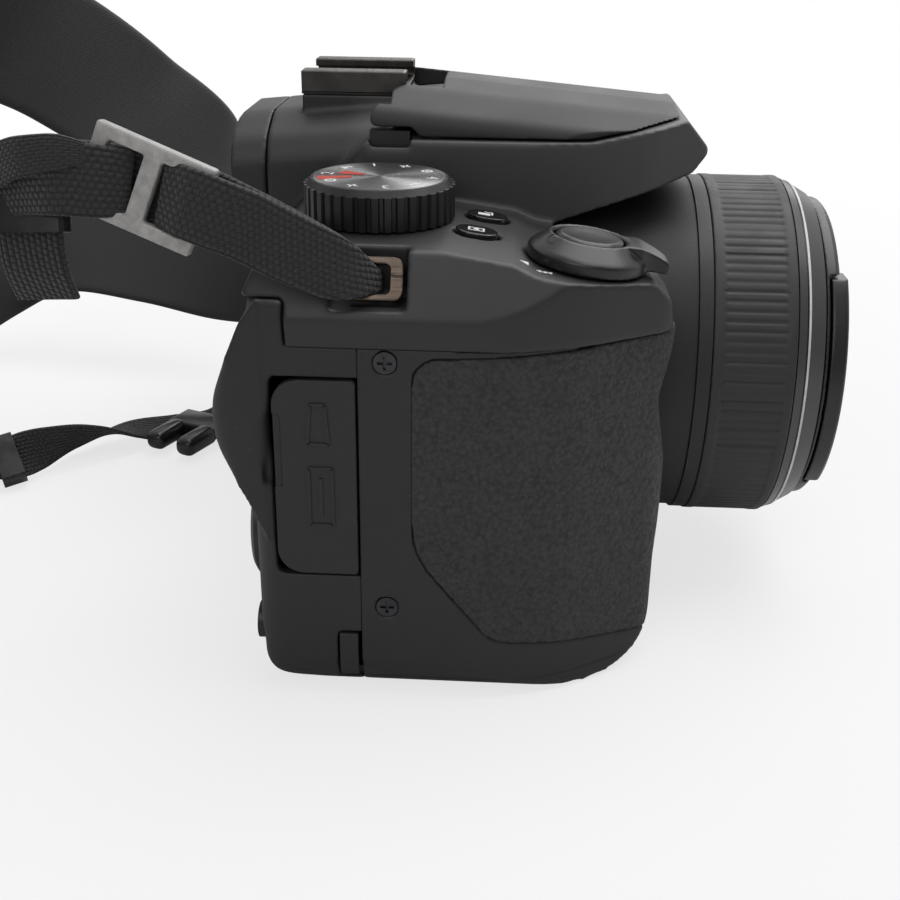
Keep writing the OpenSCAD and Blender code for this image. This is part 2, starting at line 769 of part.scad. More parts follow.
module zoom_lever() color("#1c1d1f") {
    tab_front = lever_r + 3.4;
    shutter_place() {
        rotate_extrude() polygon([[2.6, -3], [lever_stem_r, -3], [lever_stem_r, gap], [lever_r, gap],
            [lever_r, lever_wall], [lever_r - 0.5, lever_wall + 0.5], [shutter_r + 0.9, lever_top],
            [shutter_r + gap, lever_top - 0.3], [shutter_r + gap, lever_floor], [2.6, lever_floor]]);
        difference() {
            intersection() {
                along_x(-3.4, 3.4) polygon(rounded([[-tab_front, gap + 0.6, 0.4], [-5, gap + 0.6, 0],
                    [-5, lever_top - 0.1, 0], [-7.4, lever_top + 0.1, 3], [-tab_front, lever_wall + 0.6, 2]]));
                along_z(0, far) polygon(rounded([[-3.4, -tab_front, 2], [3.4, -tab_front, 3],
                    [3.4, -4, 0], [-3.4, -4, 0]]));
            }
            translate([0, 0, -1]) cylinder(r = shutter_r + 1, h = 9);
            translate([-6.4, 1.6 - tab_front, 0]) cylinder(r = 4.2, h = 9);
        }
    }
}

module shutter_button() color("#232427") {
    head = lever_floor + push + 2 * gap;
    crest = lever_top + 0.1;
    shutter_place() rotate_extrude() polygon([[0, -4], [2.3, -4], [2.3, head], [shutter_r, head],
        [shutter_r, crest - 0.5], [shutter_r - 0.6, crest], [2, crest - 0.25], [0, crest - 0.3]]);
}

// Doors on the side
module port_door() color("#2a2b2d") {
    x0 = -body_right - 0.3;
    difference() {
        along_x(x0, x0 + door_t) polygon(rounded([[door_y0, door_low, 0.6], [door_y1, door_low, 4],
            [door_y1, door_high, 4], [door_y0, door_high, 0.6]]));
        box([-far, x0 + 0.5], [door_y1 - 1.2, far], [door_low + 15, door_low + 27]);
    }
}

module port_block() color("#17181a") {
    difference() {
        box([2.2 - body_right, 11 - body_right], [door_y0 + 1, door_y1 - 1], [door_low + 2, door_high - 2]);
        box([1 - body_right, 8 - body_right], [door_y0 + 4, door_y0 + 6.8], [door_low + 5, door_low + 13]);
        box([1 - body_right, 8 - body_right], [door_y0 + 4, door_y0 + 6.4], [door_low + 17, door_low + 28]);
    }
}

module cable_flap() color("#1b1c1e") {
    intersection() {
        lower_body(-0.1);
        box([-far, 1 - body_right], flap_y, [flap_low, flap_high]);
    }
}

module case_screws() color("#101112") {
    for (p = screw_at)
        difference() {
            union() {
                rod([-body_right + 0.15, p.x, p.y], screw_head_r, [0, 90, 0], 0.85);
                rod([-body_right + 0.9, p.x, p.y], 0.98, [0, 90, 0], 5);
            }
            box([-far, -body_right + 0.6], [p.x - 0.25, p.x + 0.25], [p.y - 1.1, p.y + 1.1]);
            box([-far, -body_right + 0.6], [p.x - 1.1, p.x + 1.1], [p.y - 0.25, p.y + 0.25]);
        }
}

// Strap lugs: flat rings held by a stem in the shoulder recess
module lug_ring() {
    difference() {
        along_x(-0.7, 0.7) polygon(rounded([[-4, -3.2, 1.5], [4, -3.2, 1.5], [4, 3.2, 1.5], [-4, 3.2, 1.5]]));
        along_x(-2, 2) polygon(rounded([[-2, -2.2, 0.8], [2.8, -2.2, 0.8], [2.8, 2.2, 0.8], [-2, 2.2, 0.8]]));
    }
}
module lug() {
    translate([0, lug_at.x, lug_at.y]) rotate([0, 24, 0]) lug_ring();
    box([-0.5, 3.3], [lug_at.x - 3.9, lug_at.x - 2.4], [lug_at.y - 1, lug_at.y + 1]);
}
module strap_lugs() color("#b9a98c") {
    translate([4.2 - body_right, 0, 0]) lug();
    translate([body_left - 4.2, 0, 0]) mirror([1, 0, 0]) lug();
}

// Lens
module lens_barrel() color("#202124") {
    around_lens() polygon([[13, barrel_rear], [barrel_r, barrel_rear], [barrel_r, ring_rear - 2.6],
        [ring_r - 0.2, ring_rear - 2.4], [ring_r - 0.2, ring_rear - 0.1], [core_r, ring_rear - 0.1],
        [core_r, ring_front], [bore_r, ring_front], [bore_r, 12], [bore_r - 3, 12],
        [bore_r - 3, barrel_rear + 2], [13, barrel_rear + 2]]);
}

module ribbed_ring() color("#191a1b") {
    plain = 1.8;
    translate([0, -ring_rear, lens_z]) rotate([90, 0, 0]) difference() {
        union() {
            cylinder(r = ring_r, h = plain);
            translate([0, 0, plain]) linear_extrude(ring_w - 2 * plain)
                fluted(ring_r - 0.1, 0.4, ring_grooves, 0.62);
            translate([0, 0, ring_w - plain]) cylinder(r = ring_r, h = plain - 0.1);
        }
        translate([0, 0, -1]) cylinder(r = core_r + seat, h = ring_w + 2);
    }
}

module front_bezel() color("#16171a") {
    around_lens() polygon([[bore_r, ring_front + seat], [ring_r - 0.3, ring_front + seat],
        [ring_r - 0.9, ring_front + 1.5], [ring_r - 1.7, ring_front + 1.5], [ring_r - 1.7, ring_front + 2.2],
        [ring_r - 1.2, ring_front + 2.2], [ring_r - 2.8, bezel_front], [bore_r, bezel_front]]);
}

module trim_ring() color("#d4d6d8") {
    around_lens() polygon([[ring_r - 1.7 + seat, ring_front + 1.55], [ring_r - 0.85, ring_front + 1.55],
        [ring_r - 1.05, ring_front + 2.15], [ring_r - 1.7 + seat, ring_front + 2.15]]);
}

module zoom_tube_outer() color("#1b1c1e") {
    around_lens() polygon([[inner_r + tube_gap, tube_rear], [tube_r, tube_rear], [tube_r, bezel_front],
        [inner_r + tube_gap, bezel_front]]);
}

module zoom_tube_inner() color("#1d1e20") {
    around_lens() polygon([[middle_glass_r - 3, inner_rear], [inner_r, inner_rear], [inner_r, inner_front],
        [front_glass_r + seat, inner_front], [front_glass_r + seat, inner_front - 8],
        [front_glass_r - 1.5, inner_front - 8], [front_glass_r - 1.5, inner_front - 12],
        [middle_glass_r + seat, glass_seat + 8], [middle_glass_r + seat, glass_seat],
        [middle_glass_r - 3, glass_seat]]);
}

module front_glass() color("#6f8fa8") {
    back = inner_front - 8 + seat;
    around_lens() polygon(concat([[0, back]], [[front_glass_r, back]],
        [for (i = [0:8]) [front_glass_r * cos(i * 11.25), back + 3 + 3.4 * sin(i * 11.25)]]));
}

module middle_glass() color("#6f8fa8") {
    back = glass_seat + seat;
    around_lens() polygon(concat([[0, back]], [[middle_glass_r, back]],
        [for (i = [0:6]) [middle_glass_r * cos(i * 15), back + 3 + 2 * sin(i * 15)]]));
}

// Lens cap held by two sprung tabs that are pinched together
module cap_recess() {
    box([tab_in - tab_travel - gap, cap_r + 1], [-cap_rear - cap_h - 1, gap - cap_rear - tab_floor],
        [lens_z - tab_half - gap, lens_z + tab_half + gap]);
}
module lens_cap() color("#1a1b1d") {
    difference() {
        around_lens() polygon([[0, cap_rear], [cap_r, cap_rear], [cap_r, cap_rear + cap_h - 0.8],
            [cap_r - 0.8, cap_rear + cap_h], [0, cap_rear + cap_h]]);
        cap_recess();
        mirror([1, 0, 0]) cap_recess();
    }
}
module cap_tab() {
    tab_front = cap_rear + cap_h + tab_h;
    intersection() {
        box([tab_in, cap_r], [-tab_front, -cap_rear - tab_floor], [lens_z - tab_half, lens_z + tab_half]);
        around_lens() polygon([[0, cap_rear + tab_floor], [cap_r - 0.1, cap_rear + tab_floor],
            [cap_r - 0.1, tab_front - 0.5], [cap_r - 0.6, tab_front], [0, tab_front]]);
    }
}
module cap_tab_right() color("#202123") { mirror([1, 0, 0]) cap_tab(); }
module cap_tab_left() color("#202123") { cap_tab(); }

// Inside
module sensor() color("#39424a") {
    box([-12, 12], [-barrel_rear + seat, -barrel_rear + 2], [lens_z - 10, lens_z + 10]);
}
module chassis() color("#85888c") {
    box([-37, body_left - wall - 0.1], [-barrel_rear + 2.05, -barrel_rear + 3.2], [wall + 0.1, seam_z - 3]);
}
module main_board() color("#24553a") {
    box([-48.9, body_left - wall - 4], [-barrel_rear + 6.4, -barrel_rear + 8], [wall + 4, seam_z - 5]);
    for (x = [-20, 5, 30])
        box([x, x + 12], [-barrel_rear + 3.25, -barrel_rear + 6.4], [lens_z - 6, lens_z + 6]);
}
module flash_capacitor() color("#26262b") {
    rod([8, -barrel_rear + 8 + 5.1, 15], 5, [0, 90, 0], 36);
}
module screen_window() color("#0c0d10") {
    box(screen_x, [body_back - wall + 0.1, body_back + 0.5], screen_z);
}
module screen_module() color("#4a4d52") {
    box([screen_x[0] - 1, screen_x[1] + 1], [body_back - wall - 4.4, body_back - wall - 0.05],
        [screen_z[0] - 1, screen_z[1] + 1]);
}

// Rear controls
module round_button(at, base, rise) {
    rod([at.x, body_back + base, at.y], rear_round_r, [-90, 0, 0], rise - base);
}
module play_button() color("#202124") { round_button(play_at, -2.2, push + 0.2); }
module menu_button() color("#202124") { round_button(menu_at, -2.2, push + 0.2); }
module back_button() color("#202124") { round_button(back_at, -2.2, push + 0.2); }
module movie_button() color("#202124") { round_button(movie_at, -2.2, thumb_swell * 0.37 + push); }
module four_way_pad() color("#222326") {
    translate([pad_at.x, body_back, pad_at.y]) rotate([-90, 0, 0]) rotate_extrude()
        polygon([[centre_r + gap, -2.4], [pad_r, -2.4], [pad_r, push + 0.5], [pad_r - 0.9, push + 1.1],
            [centre_r + 1, push + 0.6], [centre_r + gap, push + 0.4]]);
}
module centre_button() color("#1c1d20") {
    rod([pad_at.x, body_back - 2.4, pad_at.y], centre_r, [-90, 0, 0], 3.1 + push);
}

// Power and base
module battery() color("#34363a") {
    box(battery_x, battery_y, battery_z);
}
module battery_door() color("#242528") {
    span = [bay_y[0] + gap, bay_y[1] - gap];
    difference() {
        union() {
            box([battery_x[0] - bay_margin + gap, bay_hinge.x], span, [0.25, wall]);
            rod([bay_hinge.x, span[0], bay_hinge.y], knuckle_r, [-90, 0, 0], span[1] - span[0]);
        }
        rod([bay_hinge.x, -far / 4, bay_hinge.y], bay_pin_r + 0.06, [-90, 0, 0], far / 2);
    }
}
module bay_hinge_pin() color("#8b8d90") {
    rod([bay_hinge.x, bay_y[0] - bay_pin_seat, bay_hinge.y], bay_pin_r, [-90, 0, 0], bay_pin_len);
}
module tripod_socket() color("#a9acb0") {
    difference() {
        union() {
            cylinder(r = 6, h = socket_depth + 1.2);
            translate([0, 0, wall]) cylinder(r = 8, h = 1.4);
        }
        translate([0, 0, -1]) cylinder(r = socket_bore_r, h = socket_depth + 1);
    }
}

// Neck strap: ribbons along hand-laid routes, each point with the way its width leans
spans = 4;
right_route = [
    [-54.4, 15.2, 69],
    [-56.6, 16, 69.5],
    [-59.8, 20, 71.6],
    [-62.2, 27, 75.6],
    [-63.5, 36, 80.4],
    [-63.2, 46, 83.4],
    [-62, 56, 84.4],
    [-59, 66, 83],
    [-56.4, 74.8, 80.4]
];
right_lean = [
    [0.3, 0, 1],
    [0.25, 0, 1],
    [0.1, -0.2, 1],
    [0.1, -0.4, 1],
    [0.1, -0.4, 1],
    [0.1, -0.3, 1],
    [0.1, -0.1, 1],
    [0.1, 0.1, 1],
    [0.1, 0.2, 1]
];
right_width = [0.36, 0.38, 0.7, 0.95, 1, 1, 1, 1, 1];
band_route = [
    [-55.8, 76.6, 79.8],
    [-48, 96, 80],
    [-32, 112, 88],
    [-8, 114, 97],
    [12, 104, 99],
    [22, 90, 92],
    [29, 72, 78],
    [38, 57, 63],
    [54, 51, 47],
    [72, 55, 35],
    [86, 70, 29],
    [94, 92, 30],
    [98, 116, 31],
    [94, 136, 26],
    [78, 146, 19],
    [60, 142, 16]
];
band_lean = [
    [0.2, 0.2, 1],
    [0.2, 0, 1],
    [0.2, -0.4, 1],
    [0.1, -0.5, 1],
    [0.1, -0.3, 1],
    [0.2, 0.2, 1],
    [0.2, 0.4, 1],
    [0.1, 0.4, 1],
    [0.1, 0.3, 1],
    [0, 0.1, 1],
    [0.6, -0.2, 1],
    [0.9, 0, 1],
    [0.9, 0, 1],
    [0.4, 0.2, 1],
    [0, 0.3, 1],
    [0, 0.3, 1]
];
left_route = [
    [51.4, 15.2, 69],
    [53.6, 16, 69.5],
    [58.4, 20, 70.4],
    [62.4, 26, 63],
    [63.5, 33, 45],
    [60, 41, 24],
    [52, 57, 9],
    [45, 65.5, 4],
    [41, 75, 2.2],
    [37, 84, 2.2],
    [29, 93, 2.4],
    [19, 100, 2.4],
    [13, 110, 2.6],
    [18, 124, 3.4],
    [34, 133, 6.5],
    [58.6, 141.6, 15.2]
];
left_lean = [
    [-0.3, 0, 1],
    [-0.2, 0, 1],
    [0.3, 0.6, 1],
    [0.2, 1, 0.6],
    [0, 1, 0.3],
    [0.2, 1, 0.5],
    [0.7, 0.4, 0.5],
    [1, 0.3, 0.15],
    [1, 0.2, 0.1],
    [0.8, 0.5, 0.1],
    [0.5, 0.8, 0.1],
    [0.6, 0.7, 0.1],
    [1, 0.1, 0.1],
    [0.7, -0.6, 0.2],
    [0.3, -0.6, 0.6],
    [0, -0.2, 1]
];
left_width = [0.36, 0.38, 0.7, 0.95, 1, 1, 1, 1, 1, 1, 1, 1, 1, 1, 1, 1];
right_buckle = 5;
left_buckle = 7;

function blend_at(p, i, t) =
    let (n = len(p), a = p[max(i - 1, 0)], b = p[i], c = p[min(i + 1, n - 1)], d = p[min(i + 2, n - 1)])
    0.5 * (2 * b + (c - a) * t + (2 * a - 5 * b + 4 * c - d) * t * t + (3 * b - a - 3 * c + d) * t * t * t);
function smooth(p) =
    concat([for (i = [0:len(p) - 2]) for (k = [0:spans - 1]) blend_at(p, i, k / spans)], [p[len(p) - 1]]);
function heading(p, i) = unit(p[min(i + 1, len(p) - 1)] - p[max(i - 1, 0)]);
function square_to(lean, along) = unit(lean - along * (lean * along));
function frame_turn(along, across) =
    let (yaw = atan2(along.y, along.x), left = [-sin(yaw), cos(yaw), 0], up = cross(along, left))
    [atan2(-(across * left), across * up), -asin(along.z), yaw];

module ribbon(route, lean, widths, w, t) {
    line = smooth(route);
    lay = smooth(lean);
    half = smooth(widths) * w / 2;
    n = len(line);
    rings = [for (i = [0:n - 1])
        let (
            along = heading(line, i),
            across = square_to(lay[i], along),
            side = across * half[i],
            out = cross(along, across) * t / 2
        )
        each [line[i] - side - out, line[i] + side - out, line[i] + side + out, line[i] - side + out]];
    faces = concat(
        [[0, 1, 2, 3]],
        [for (i = [0:n - 2]) for (k = [0:3])
            let (a = 4 * i + k, b = 4 * i + (k + 1) % 4)
            each [[a, a + 4, b], [b, a + 4, b + 4]]],
        [[4 * n - 1, 4 * n - 2, 4 * n - 3, 4 * n - 4]]
    );
    polyhedron(rings, faces);
}
module buckle(route, lean, i, long, wide, t) {
    along = heading(route, i);
    translate(route[i]) rotate(frame_turn(along, square_to(lean[i], along))) difference() {
        box([-long, long], [-t / 2 - 1, t / 2 + 1], [-wide / 2 - 1.6, wide / 2 + 1.6]);
        box([-long - 1, long + 1], [-t / 2 - gap, t / 2 + gap], [-wide / 2 - gap, wide / 2 + gap]);
    }
}

module strap_right() color("#1a1a1b") { ribbon(right_route, right_lean, right_width, webbing_w, webbing_t); }
module strap_band() color("#1d1e1f") {
    ribbon(band_route, band_lean, [for (p = band_route) 1], band_w, band_t);
}
module strap_left() color("#1a1a1b") { ribbon(left_route, left_lean, left_width, webbing_w, webbing_t / 2); }
module strap_fittings() color("#3a3b3d") {
    buckle(right_route, right_lean, right_buckle, 5, webbing_w, webbing_t);
    buckle(left_route, left_lean, left_buckle, 2.5, webbing_w, webbing_t);
}

front_shell();
rear_cover();
top_cover();
finder_housing();
eyepiece_frame();
eyecup();
eyepiece_lens();
finder_display();
dioptre_wheel();
flash_lid();
flash_hinge_pins();
flash_hinge_strip();
flash_window();
flash_reflector();
flash_button();
shoe_rails();
shoe_base();
mode_dial();
dial_plate();
burst_button();
finder_button();
zoom_lever();
shutter_button();
grip_rubber();
port_door();
port_block();
cable_flap();
case_screws();
strap_lugs();
lens_barrel();
ribbed_ring();
trim_ring();
front_bezel();
zoom_tube_outer();
zoom_tube_inner();
front_glass();
middle_glass();
lens_cap();
cap_tab_right();
cap_tab_left();
sensor();
chassis();
main_board();
flash_capacitor();
screen_window();
screen_module();
play_button();
movie_button();
menu_button();
back_button();
four_way_pad();
centre_button();
battery();
battery_door();
bay_hinge_pin();
tripod_socket();
strap_right();
strap_band();
strap_left();
strap_fittings();
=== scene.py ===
"""Dresses the bridge camera: soft moulded shells, leatherette grip, spun dial, woven neck strap."""
import math

import bmesh
import bpy
from mathutils import Matrix, Vector
from mathutils.bvhtree import BVHTree


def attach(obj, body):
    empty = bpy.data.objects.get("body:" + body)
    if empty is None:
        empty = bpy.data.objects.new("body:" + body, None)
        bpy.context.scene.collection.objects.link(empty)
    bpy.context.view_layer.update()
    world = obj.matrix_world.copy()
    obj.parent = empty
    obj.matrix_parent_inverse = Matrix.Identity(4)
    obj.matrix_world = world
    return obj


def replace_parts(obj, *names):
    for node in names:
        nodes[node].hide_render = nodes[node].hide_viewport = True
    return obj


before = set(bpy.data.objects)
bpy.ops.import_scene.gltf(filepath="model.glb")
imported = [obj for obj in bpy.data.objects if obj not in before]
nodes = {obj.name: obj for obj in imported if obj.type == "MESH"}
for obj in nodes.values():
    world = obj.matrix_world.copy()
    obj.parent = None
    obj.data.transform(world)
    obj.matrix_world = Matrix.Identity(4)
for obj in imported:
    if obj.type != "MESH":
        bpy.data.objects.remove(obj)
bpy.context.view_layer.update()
scene = bpy.context.scene
scene.view_settings.view_transform = "Standard"
MM = 0.001


def mm(*values):
    """A place given in millimetres, in metres."""
    return Vector(values) * MM


# Viewpoint: from the grip side, looking across the body and a little down
EYE = (-228.646, -3.842, 120.472)
PITCH, YAW, ROLL = (math.radians(a) for a in (24.232, 2.723, -0.785))
LENS_MM, SENSOR_MM = 49.477, 36


def viewpoint():
    """Stands the scene's camera at EYE, turned by the pitch, yaw and roll."""
    ahead = Vector((math.cos(PITCH) * math.cos(YAW), math.sin(YAW) * math.cos(PITCH), -math.sin(PITCH)))
    right = ahead.cross(Vector((0, 0, 1))).normalized()
    down = ahead.cross(right)
    level_right = right * math.cos(ROLL) + down * math.sin(ROLL)
    level_down = down * math.cos(ROLL) - right * math.sin(ROLL)
    lens = bpy.data.cameras.new("viewpoint")
    lens.lens = LENS_MM
    lens.sensor_width = SENSOR_MM
    lens.clip_start = 0.01
    holder = bpy.data.objects.new("viewpoint", lens)
    scene.collection.objects.link(holder)
    turn = Matrix((level_right, -level_down, -ahead)).transposed().to_4x4()
    holder.matrix_world = Matrix.Translation(mm(*EYE)) @ turn
    scene.camera = holder


viewpoint()


# Finishes
def add_node(tree, kind, links=None, **settings):
    """A shader node, with its settings made and its sockets linked or set."""
    made = tree.nodes.new("ShaderNode" + kind)
    for key, value in settings.items():
        setattr(made, key, value)
    for socket, source in (links or {}).items():
        if hasattr(source, "is_linked"):
            tree.links.new(source, made.inputs[socket])
        else:
            made.inputs[socket].default_value = source
    return made


class Finish:
    """A node material that starts from one principled shader."""

    def __init__(self, name, colour, rough, **sockets):
        self.material = bpy.data.materials.new(name)
        self.material.use_nodes = True
        self.tree = self.material.node_tree
        self.shader = self.tree.nodes["Principled BSDF"]
        self.shader.inputs["Base Color"].default_value = (*colour, 1)
        self.shader.inputs["Roughness"].default_value = rough
        for socket, value in sockets.items():
            self.shader.inputs[socket.replace("_", " ")].default_value = value
        self.place = None
        self.heights = None

    def node(self, kind, links=None, **settings):
        return add_node(self.tree, kind, links, **settings)

    def here(self):
        """Object coordinates, made once for each finish."""
        if not self.place:
            self.place = self.node("TexCoord").outputs["Object"]
        return self.place

    def noise(self, size_mm, detail=3, rough=0.5):
        return self.node("TexNoise", {"Vector": self.here(), "Scale": 1 / (size_mm * MM),
                                      "Detail": detail, "Roughness": rough}).outputs["Fac"]

    def swirl(self, size_mm, detail):
        return self.node("TexNoise", {"Vector": self.here(), "Scale": 1 / (size_mm * MM),
                                      "Detail": detail}).outputs["Color"]

    def cells(self, size_mm, feature="F1", vector=None):
        return self.node("TexVoronoi", {"Vector": vector or self.here(), "Scale": 1 / (size_mm * MM)},
                         feature=feature)

    def remap(self, value, low, high, to_low=0.0, to_high=1.0):
        return self.node("MapRange", {"Value": value, "From Min": low, "From Max": high,
                                      "To Min": to_low, "To Max": to_high}).outputs["Result"]

    def calc(self, operation, a, b=0.0, c=None):
        links = {0: a, 1: b}
        if c is not None:
            links[2] = c
        return self.node("Math", links, operation=operation).outputs[0]

    def shifted(self, vector, by, reach_mm):
        return self.node("VectorMath", {0: by, 1: (reach_mm * MM,) * 3, 2: vector},
                         operation="MULTIPLY_ADD").outputs[0]

    def mix(self, factor, a, b):
        return self.node("Mix", {0: factor, 6: a, 7: b}, data_type="RGBA").outputs[2]

    def colour(self, source):
        self.tree.links.new(source, self.shader.inputs["Base Color"])
        return self

    def rough(self, source):
        self.tree.links.new(source, self.shader.inputs["Roughness"])
        return self

    def bump(self, height, depth_mm):
        """Adds a relief on top of those that the finish has."""
        made = self.node("Bump", {"Height": height, "Strength": 1.0, "Distance": depth_mm * MM})
        if self.heights:
            self.tree.links.new(self.heights, made.inputs["Normal"])
        self.heights = made.outputs["Normal"]
        self.tree.links.new(self.heights, self.shader.inputs["Normal"])
        return self


def grey(v, warm=0.0):
    """A grey, a little redder or bluer by the warm share."""
    return (v * (1 + warm), v, v * (1 - warm), 1)


# Where the painted light on the finder hump starts and where it is full: across and along, in mm
HUMP_PAINTED_LIGHT_SIDE, HUMP_PAINTED_LIGHT_REAR = (26.5, 23.5), (25, 20)


def moulded_plastic(name, tone, rough, grain_mm, grain_depth, dust=0.35, hump_painted_light_gain=None):
    """Fine spark-eroded plastic with uneven sheen and a little dust in the grain; a hump gain paints light
    onto the finder hump.
    """
    f = Finish(name, (tone, tone, tone), rough)
    broad = f.noise(14, 4)
    fine = f.noise(grain_mm, 2, 0.6)
    tint = f.mix(broad, grey(tone * 0.88, -0.02), grey(tone * 1.14, -0.01))
    # Painted light: the colour is made lighter over the finder hump, by the hump gain
    if hump_painted_light_gain:
        spot = f.node("SeparateXYZ", {"Vector": f.here()})
        sideways = f.remap(f.calc("ABSOLUTE", spot.outputs["X"]), *(x * MM for x in HUMP_PAINTED_LIGHT_SIDE))
        ahead = f.remap(spot.outputs["Y"], *(y * MM for y in HUMP_PAINTED_LIGHT_REAR))
        painted_light_on_hump = f.calc("MULTIPLY", sideways, ahead)
        tint = f.mix(painted_light_on_hump, tint, grey(tone * hump_painted_light_gain))
    specks = f.cells(2.6)
    near = f.remap(specks.outputs["Distance"], 0.012, 0.03, 1, 0)
    rare = f.remap(f.node("SeparateColor", {"Color": specks.outputs["Color"]}).outputs["Red"], 0.86, 0.9)
    f.colour(f.mix(f.calc("MULTIPLY", f.calc("MULTIPLY", near, rare), dust), tint, grey(0.55)))
    f.rough(f.calc("MULTIPLY_ADD", fine, 0.1, f.remap(broad, 0.3, 0.7, rough - 0.1, rough)))
    return f.bump(fine, grain_depth).material


def glossy_plastic(name, tone, rough):
    """Polished black plastic with faint wiping marks."""
    f = Finish(name, (tone, tone, tone), rough)
    smear = f.noise(5, 5, 0.7)
    f.colour(f.mix(smear, grey(tone * 0.85), grey(tone * 1.15)))
    f.rough(f.remap(smear, 0.3, 0.75, rough * 0.7, rough * 1.5))
    return f.bump(f.noise(0.5, 2), 0.004).material


def leatherette(name, tone):
    """Grip rubber with a fine wrinkled leather grain, its creases painted darker as shade."""
    f = Finish(name, (tone, tone, tone), 0.6)
    bend = f.swirl(0.8, 2.0)
    wander = f.shifted(f.here(), bend, 0.9)
    pebble = f.remap(f.cells(0.68, "SMOOTH_F1", wander).outputs["Distance"], 0.1, 0.7, 1, 0)
    folds = f.noise(0.9, 4, 0.62)
    worn = f.noise(9, 3)
    skin = f.calc("MULTIPLY_ADD", pebble, 0.6, f.calc("MULTIPLY", folds, 0.8))
    # Painted shade: pebble tops and folds are lighter and the creases between them darker, over broad
    # patches that differ at random
    shade = f.calc("MULTIPLY_ADD", worn, 0.5, f.calc("MULTIPLY", f.remap(skin, 0.4, 1.05), 0.75))
    f.colour(f.mix(shade, grey(tone * 0.55), grey(tone * 1.6)))
    f.rough(f.remap(skin, 0.4, 1.0, 0.72, 0.48))
    f.bump(skin, 0.22)
    return f.bump(f.noise(0.25, 3), 0.02).material


def matte_rubber(name, tone, rough=0.62):
    """Plain rubber of covers and rings, chalky in places."""
    f = Finish(name, (tone, tone, tone), rough)
    chalk = f.noise(6, 6, 0.65)
    f.colour(f.mix(f.remap(chalk, 0.4, 0.75), grey(tone * 0.9), grey(tone * 1.35)))
    f.rough(f.remap(chalk, 0.3, 0.7, rough - 0.06, rough + 0.1))
    return f.bump(f.noise(0.35, 3), 0.02).material


def bare_metal(name, colour, rough, grain_mm=(0.3, 6, 0.3)):
    """Metal with a drawn grain and slight tarnish."""
    f = Finish(name, colour, rough, Metallic=1.0)
    drawn = f.node("Mapping", {"Vector": f.here(), "Scale": tuple(1 / g for g in grain_mm)}).outputs[0]
    grain = f.node("TexNoise", {"Vector": drawn, "Scale": 1 / MM, "Detail": 3.0}).outputs["Fac"]
    tarnish = f.noise(3, 4)
    dark = tuple(c * 0.72 for c in colour) + (1,)
    f.colour(f.mix(f.remap(tarnish, 0.35, 0.7), dark, (*colour, 1)))
    f.rough(f.remap(grain, 0.3, 0.7, rough * 0.75, rough * 1.3))
    return f.bump(grain, 0.006).material


def spun_metal(name, centre):
    """Dial face turned on a lathe: fine rings, and bright fans from the centre that are painted highlights.
    """
    f = Finish(name, (0.5, 0.5, 0.5), 0.3, Metallic=1.0)
    local = f.node("Mapping", {"Vector": f.here(), "Location": tuple(-c * MM for c in centre)}).outputs[0]
    flat = f.node("SeparateXYZ", {"Vector": local})
    turn = f.calc("ARCTAN2", flat.outputs["Y"], flat.outputs["X"])
    # Painted reflection: two bright fans round the centre, where a lathe-turned face catches the light
    painted_glint = f.calc("COSINE", f.calc("MULTIPLY_ADD", turn, 2.0, math.radians(-100)))
    painted_glint = f.calc("POWER", f.remap(painted_glint, -1, 1), 5.0)
    cross_painted_glint = f.calc("COSINE", f.calc("MULTIPLY_ADD", turn, 2.0, math.radians(126)))
    painted_glint = f.calc("MULTIPLY_ADD", f.calc("POWER", f.remap(cross_painted_glint, -1, 1), 9.0), 0.6, painted_glint)
    radius = f.node("VectorMath", {0: local}, operation="LENGTH").outputs["Value"]
    rings = f.node("TexNoise", {"W": f.calc("MULTIPLY", radius, 9000.0), "Scale": 1.0, "Detail": 2.0},
                   noise_dimensions="1D").outputs["Fac"]
    tone = f.calc("MULTIPLY_ADD", painted_glint, 0.8, f.remap(rings, 0.3, 0.7, 0.08, 0.2))
    f.colour(f.mix(tone, grey(0.06), grey(0.95)))
    f.rough(f.remap(rings, 0.3, 0.7, 0.22, 0.4))
    return f.bump(rings, 0.01).material


YARN_W, YARN_L = 0.86, 0.95


def woven_webbing(name, tone):
    """Coarse webbing: plump yarn floats in staggered rows along the strap, painted dark in the gaps and
    light on their crowns.
    """
    f = Finish(name, (tone, tone, tone), 0.78)
    f.shader.inputs["Sheen Weight"].default_value = 0.12
    f.shader.inputs["Sheen Roughness"].default_value = 0.5
    cloth = f.node("UVMap", uv_map="weave").outputs[0]
    wobble = f.swirl(1.4, 1.0)
    cloth = f.shifted(cloth, wobble, 0.25)
    way = f.node("SeparateXYZ", {"Vector": cloth})
    column = f.calc("MULTIPLY", way.outputs["X"], 1 / (YARN_W * MM))
    step = f.calc("MULTIPLY", f.calc("FLOOR", column), 0.5)
    row = f.calc("MULTIPLY_ADD", way.outputs["Y"], 1 / (YARN_L * MM), step)
    plump = f.calc("SINE", f.calc("MULTIPLY", f.calc("FRACT", column), math.pi))
    float_end = f.calc("POWER", f.calc("SINE", f.calc("MULTIPLY", f.calc("FRACT", row), math.pi)), 0.6)
    height = f.calc("MULTIPLY", plump, float_end)
    lint = f.noise(0.3, 4, 0.7)
    # Painted shade and light: the colour runs from near black in the gaps between yarn floats to light on
    # their crowns
    shade = f.calc("MULTIPLY", height, f.remap(lint, 0.25, 0.75, 0.6, 1.15))
    f.colour(f.mix(shade, grey(tone * 0.06), grey(tone * 1.9)))
    f.bump(height, 0.45)
    return f.bump(lint, 0.05).material


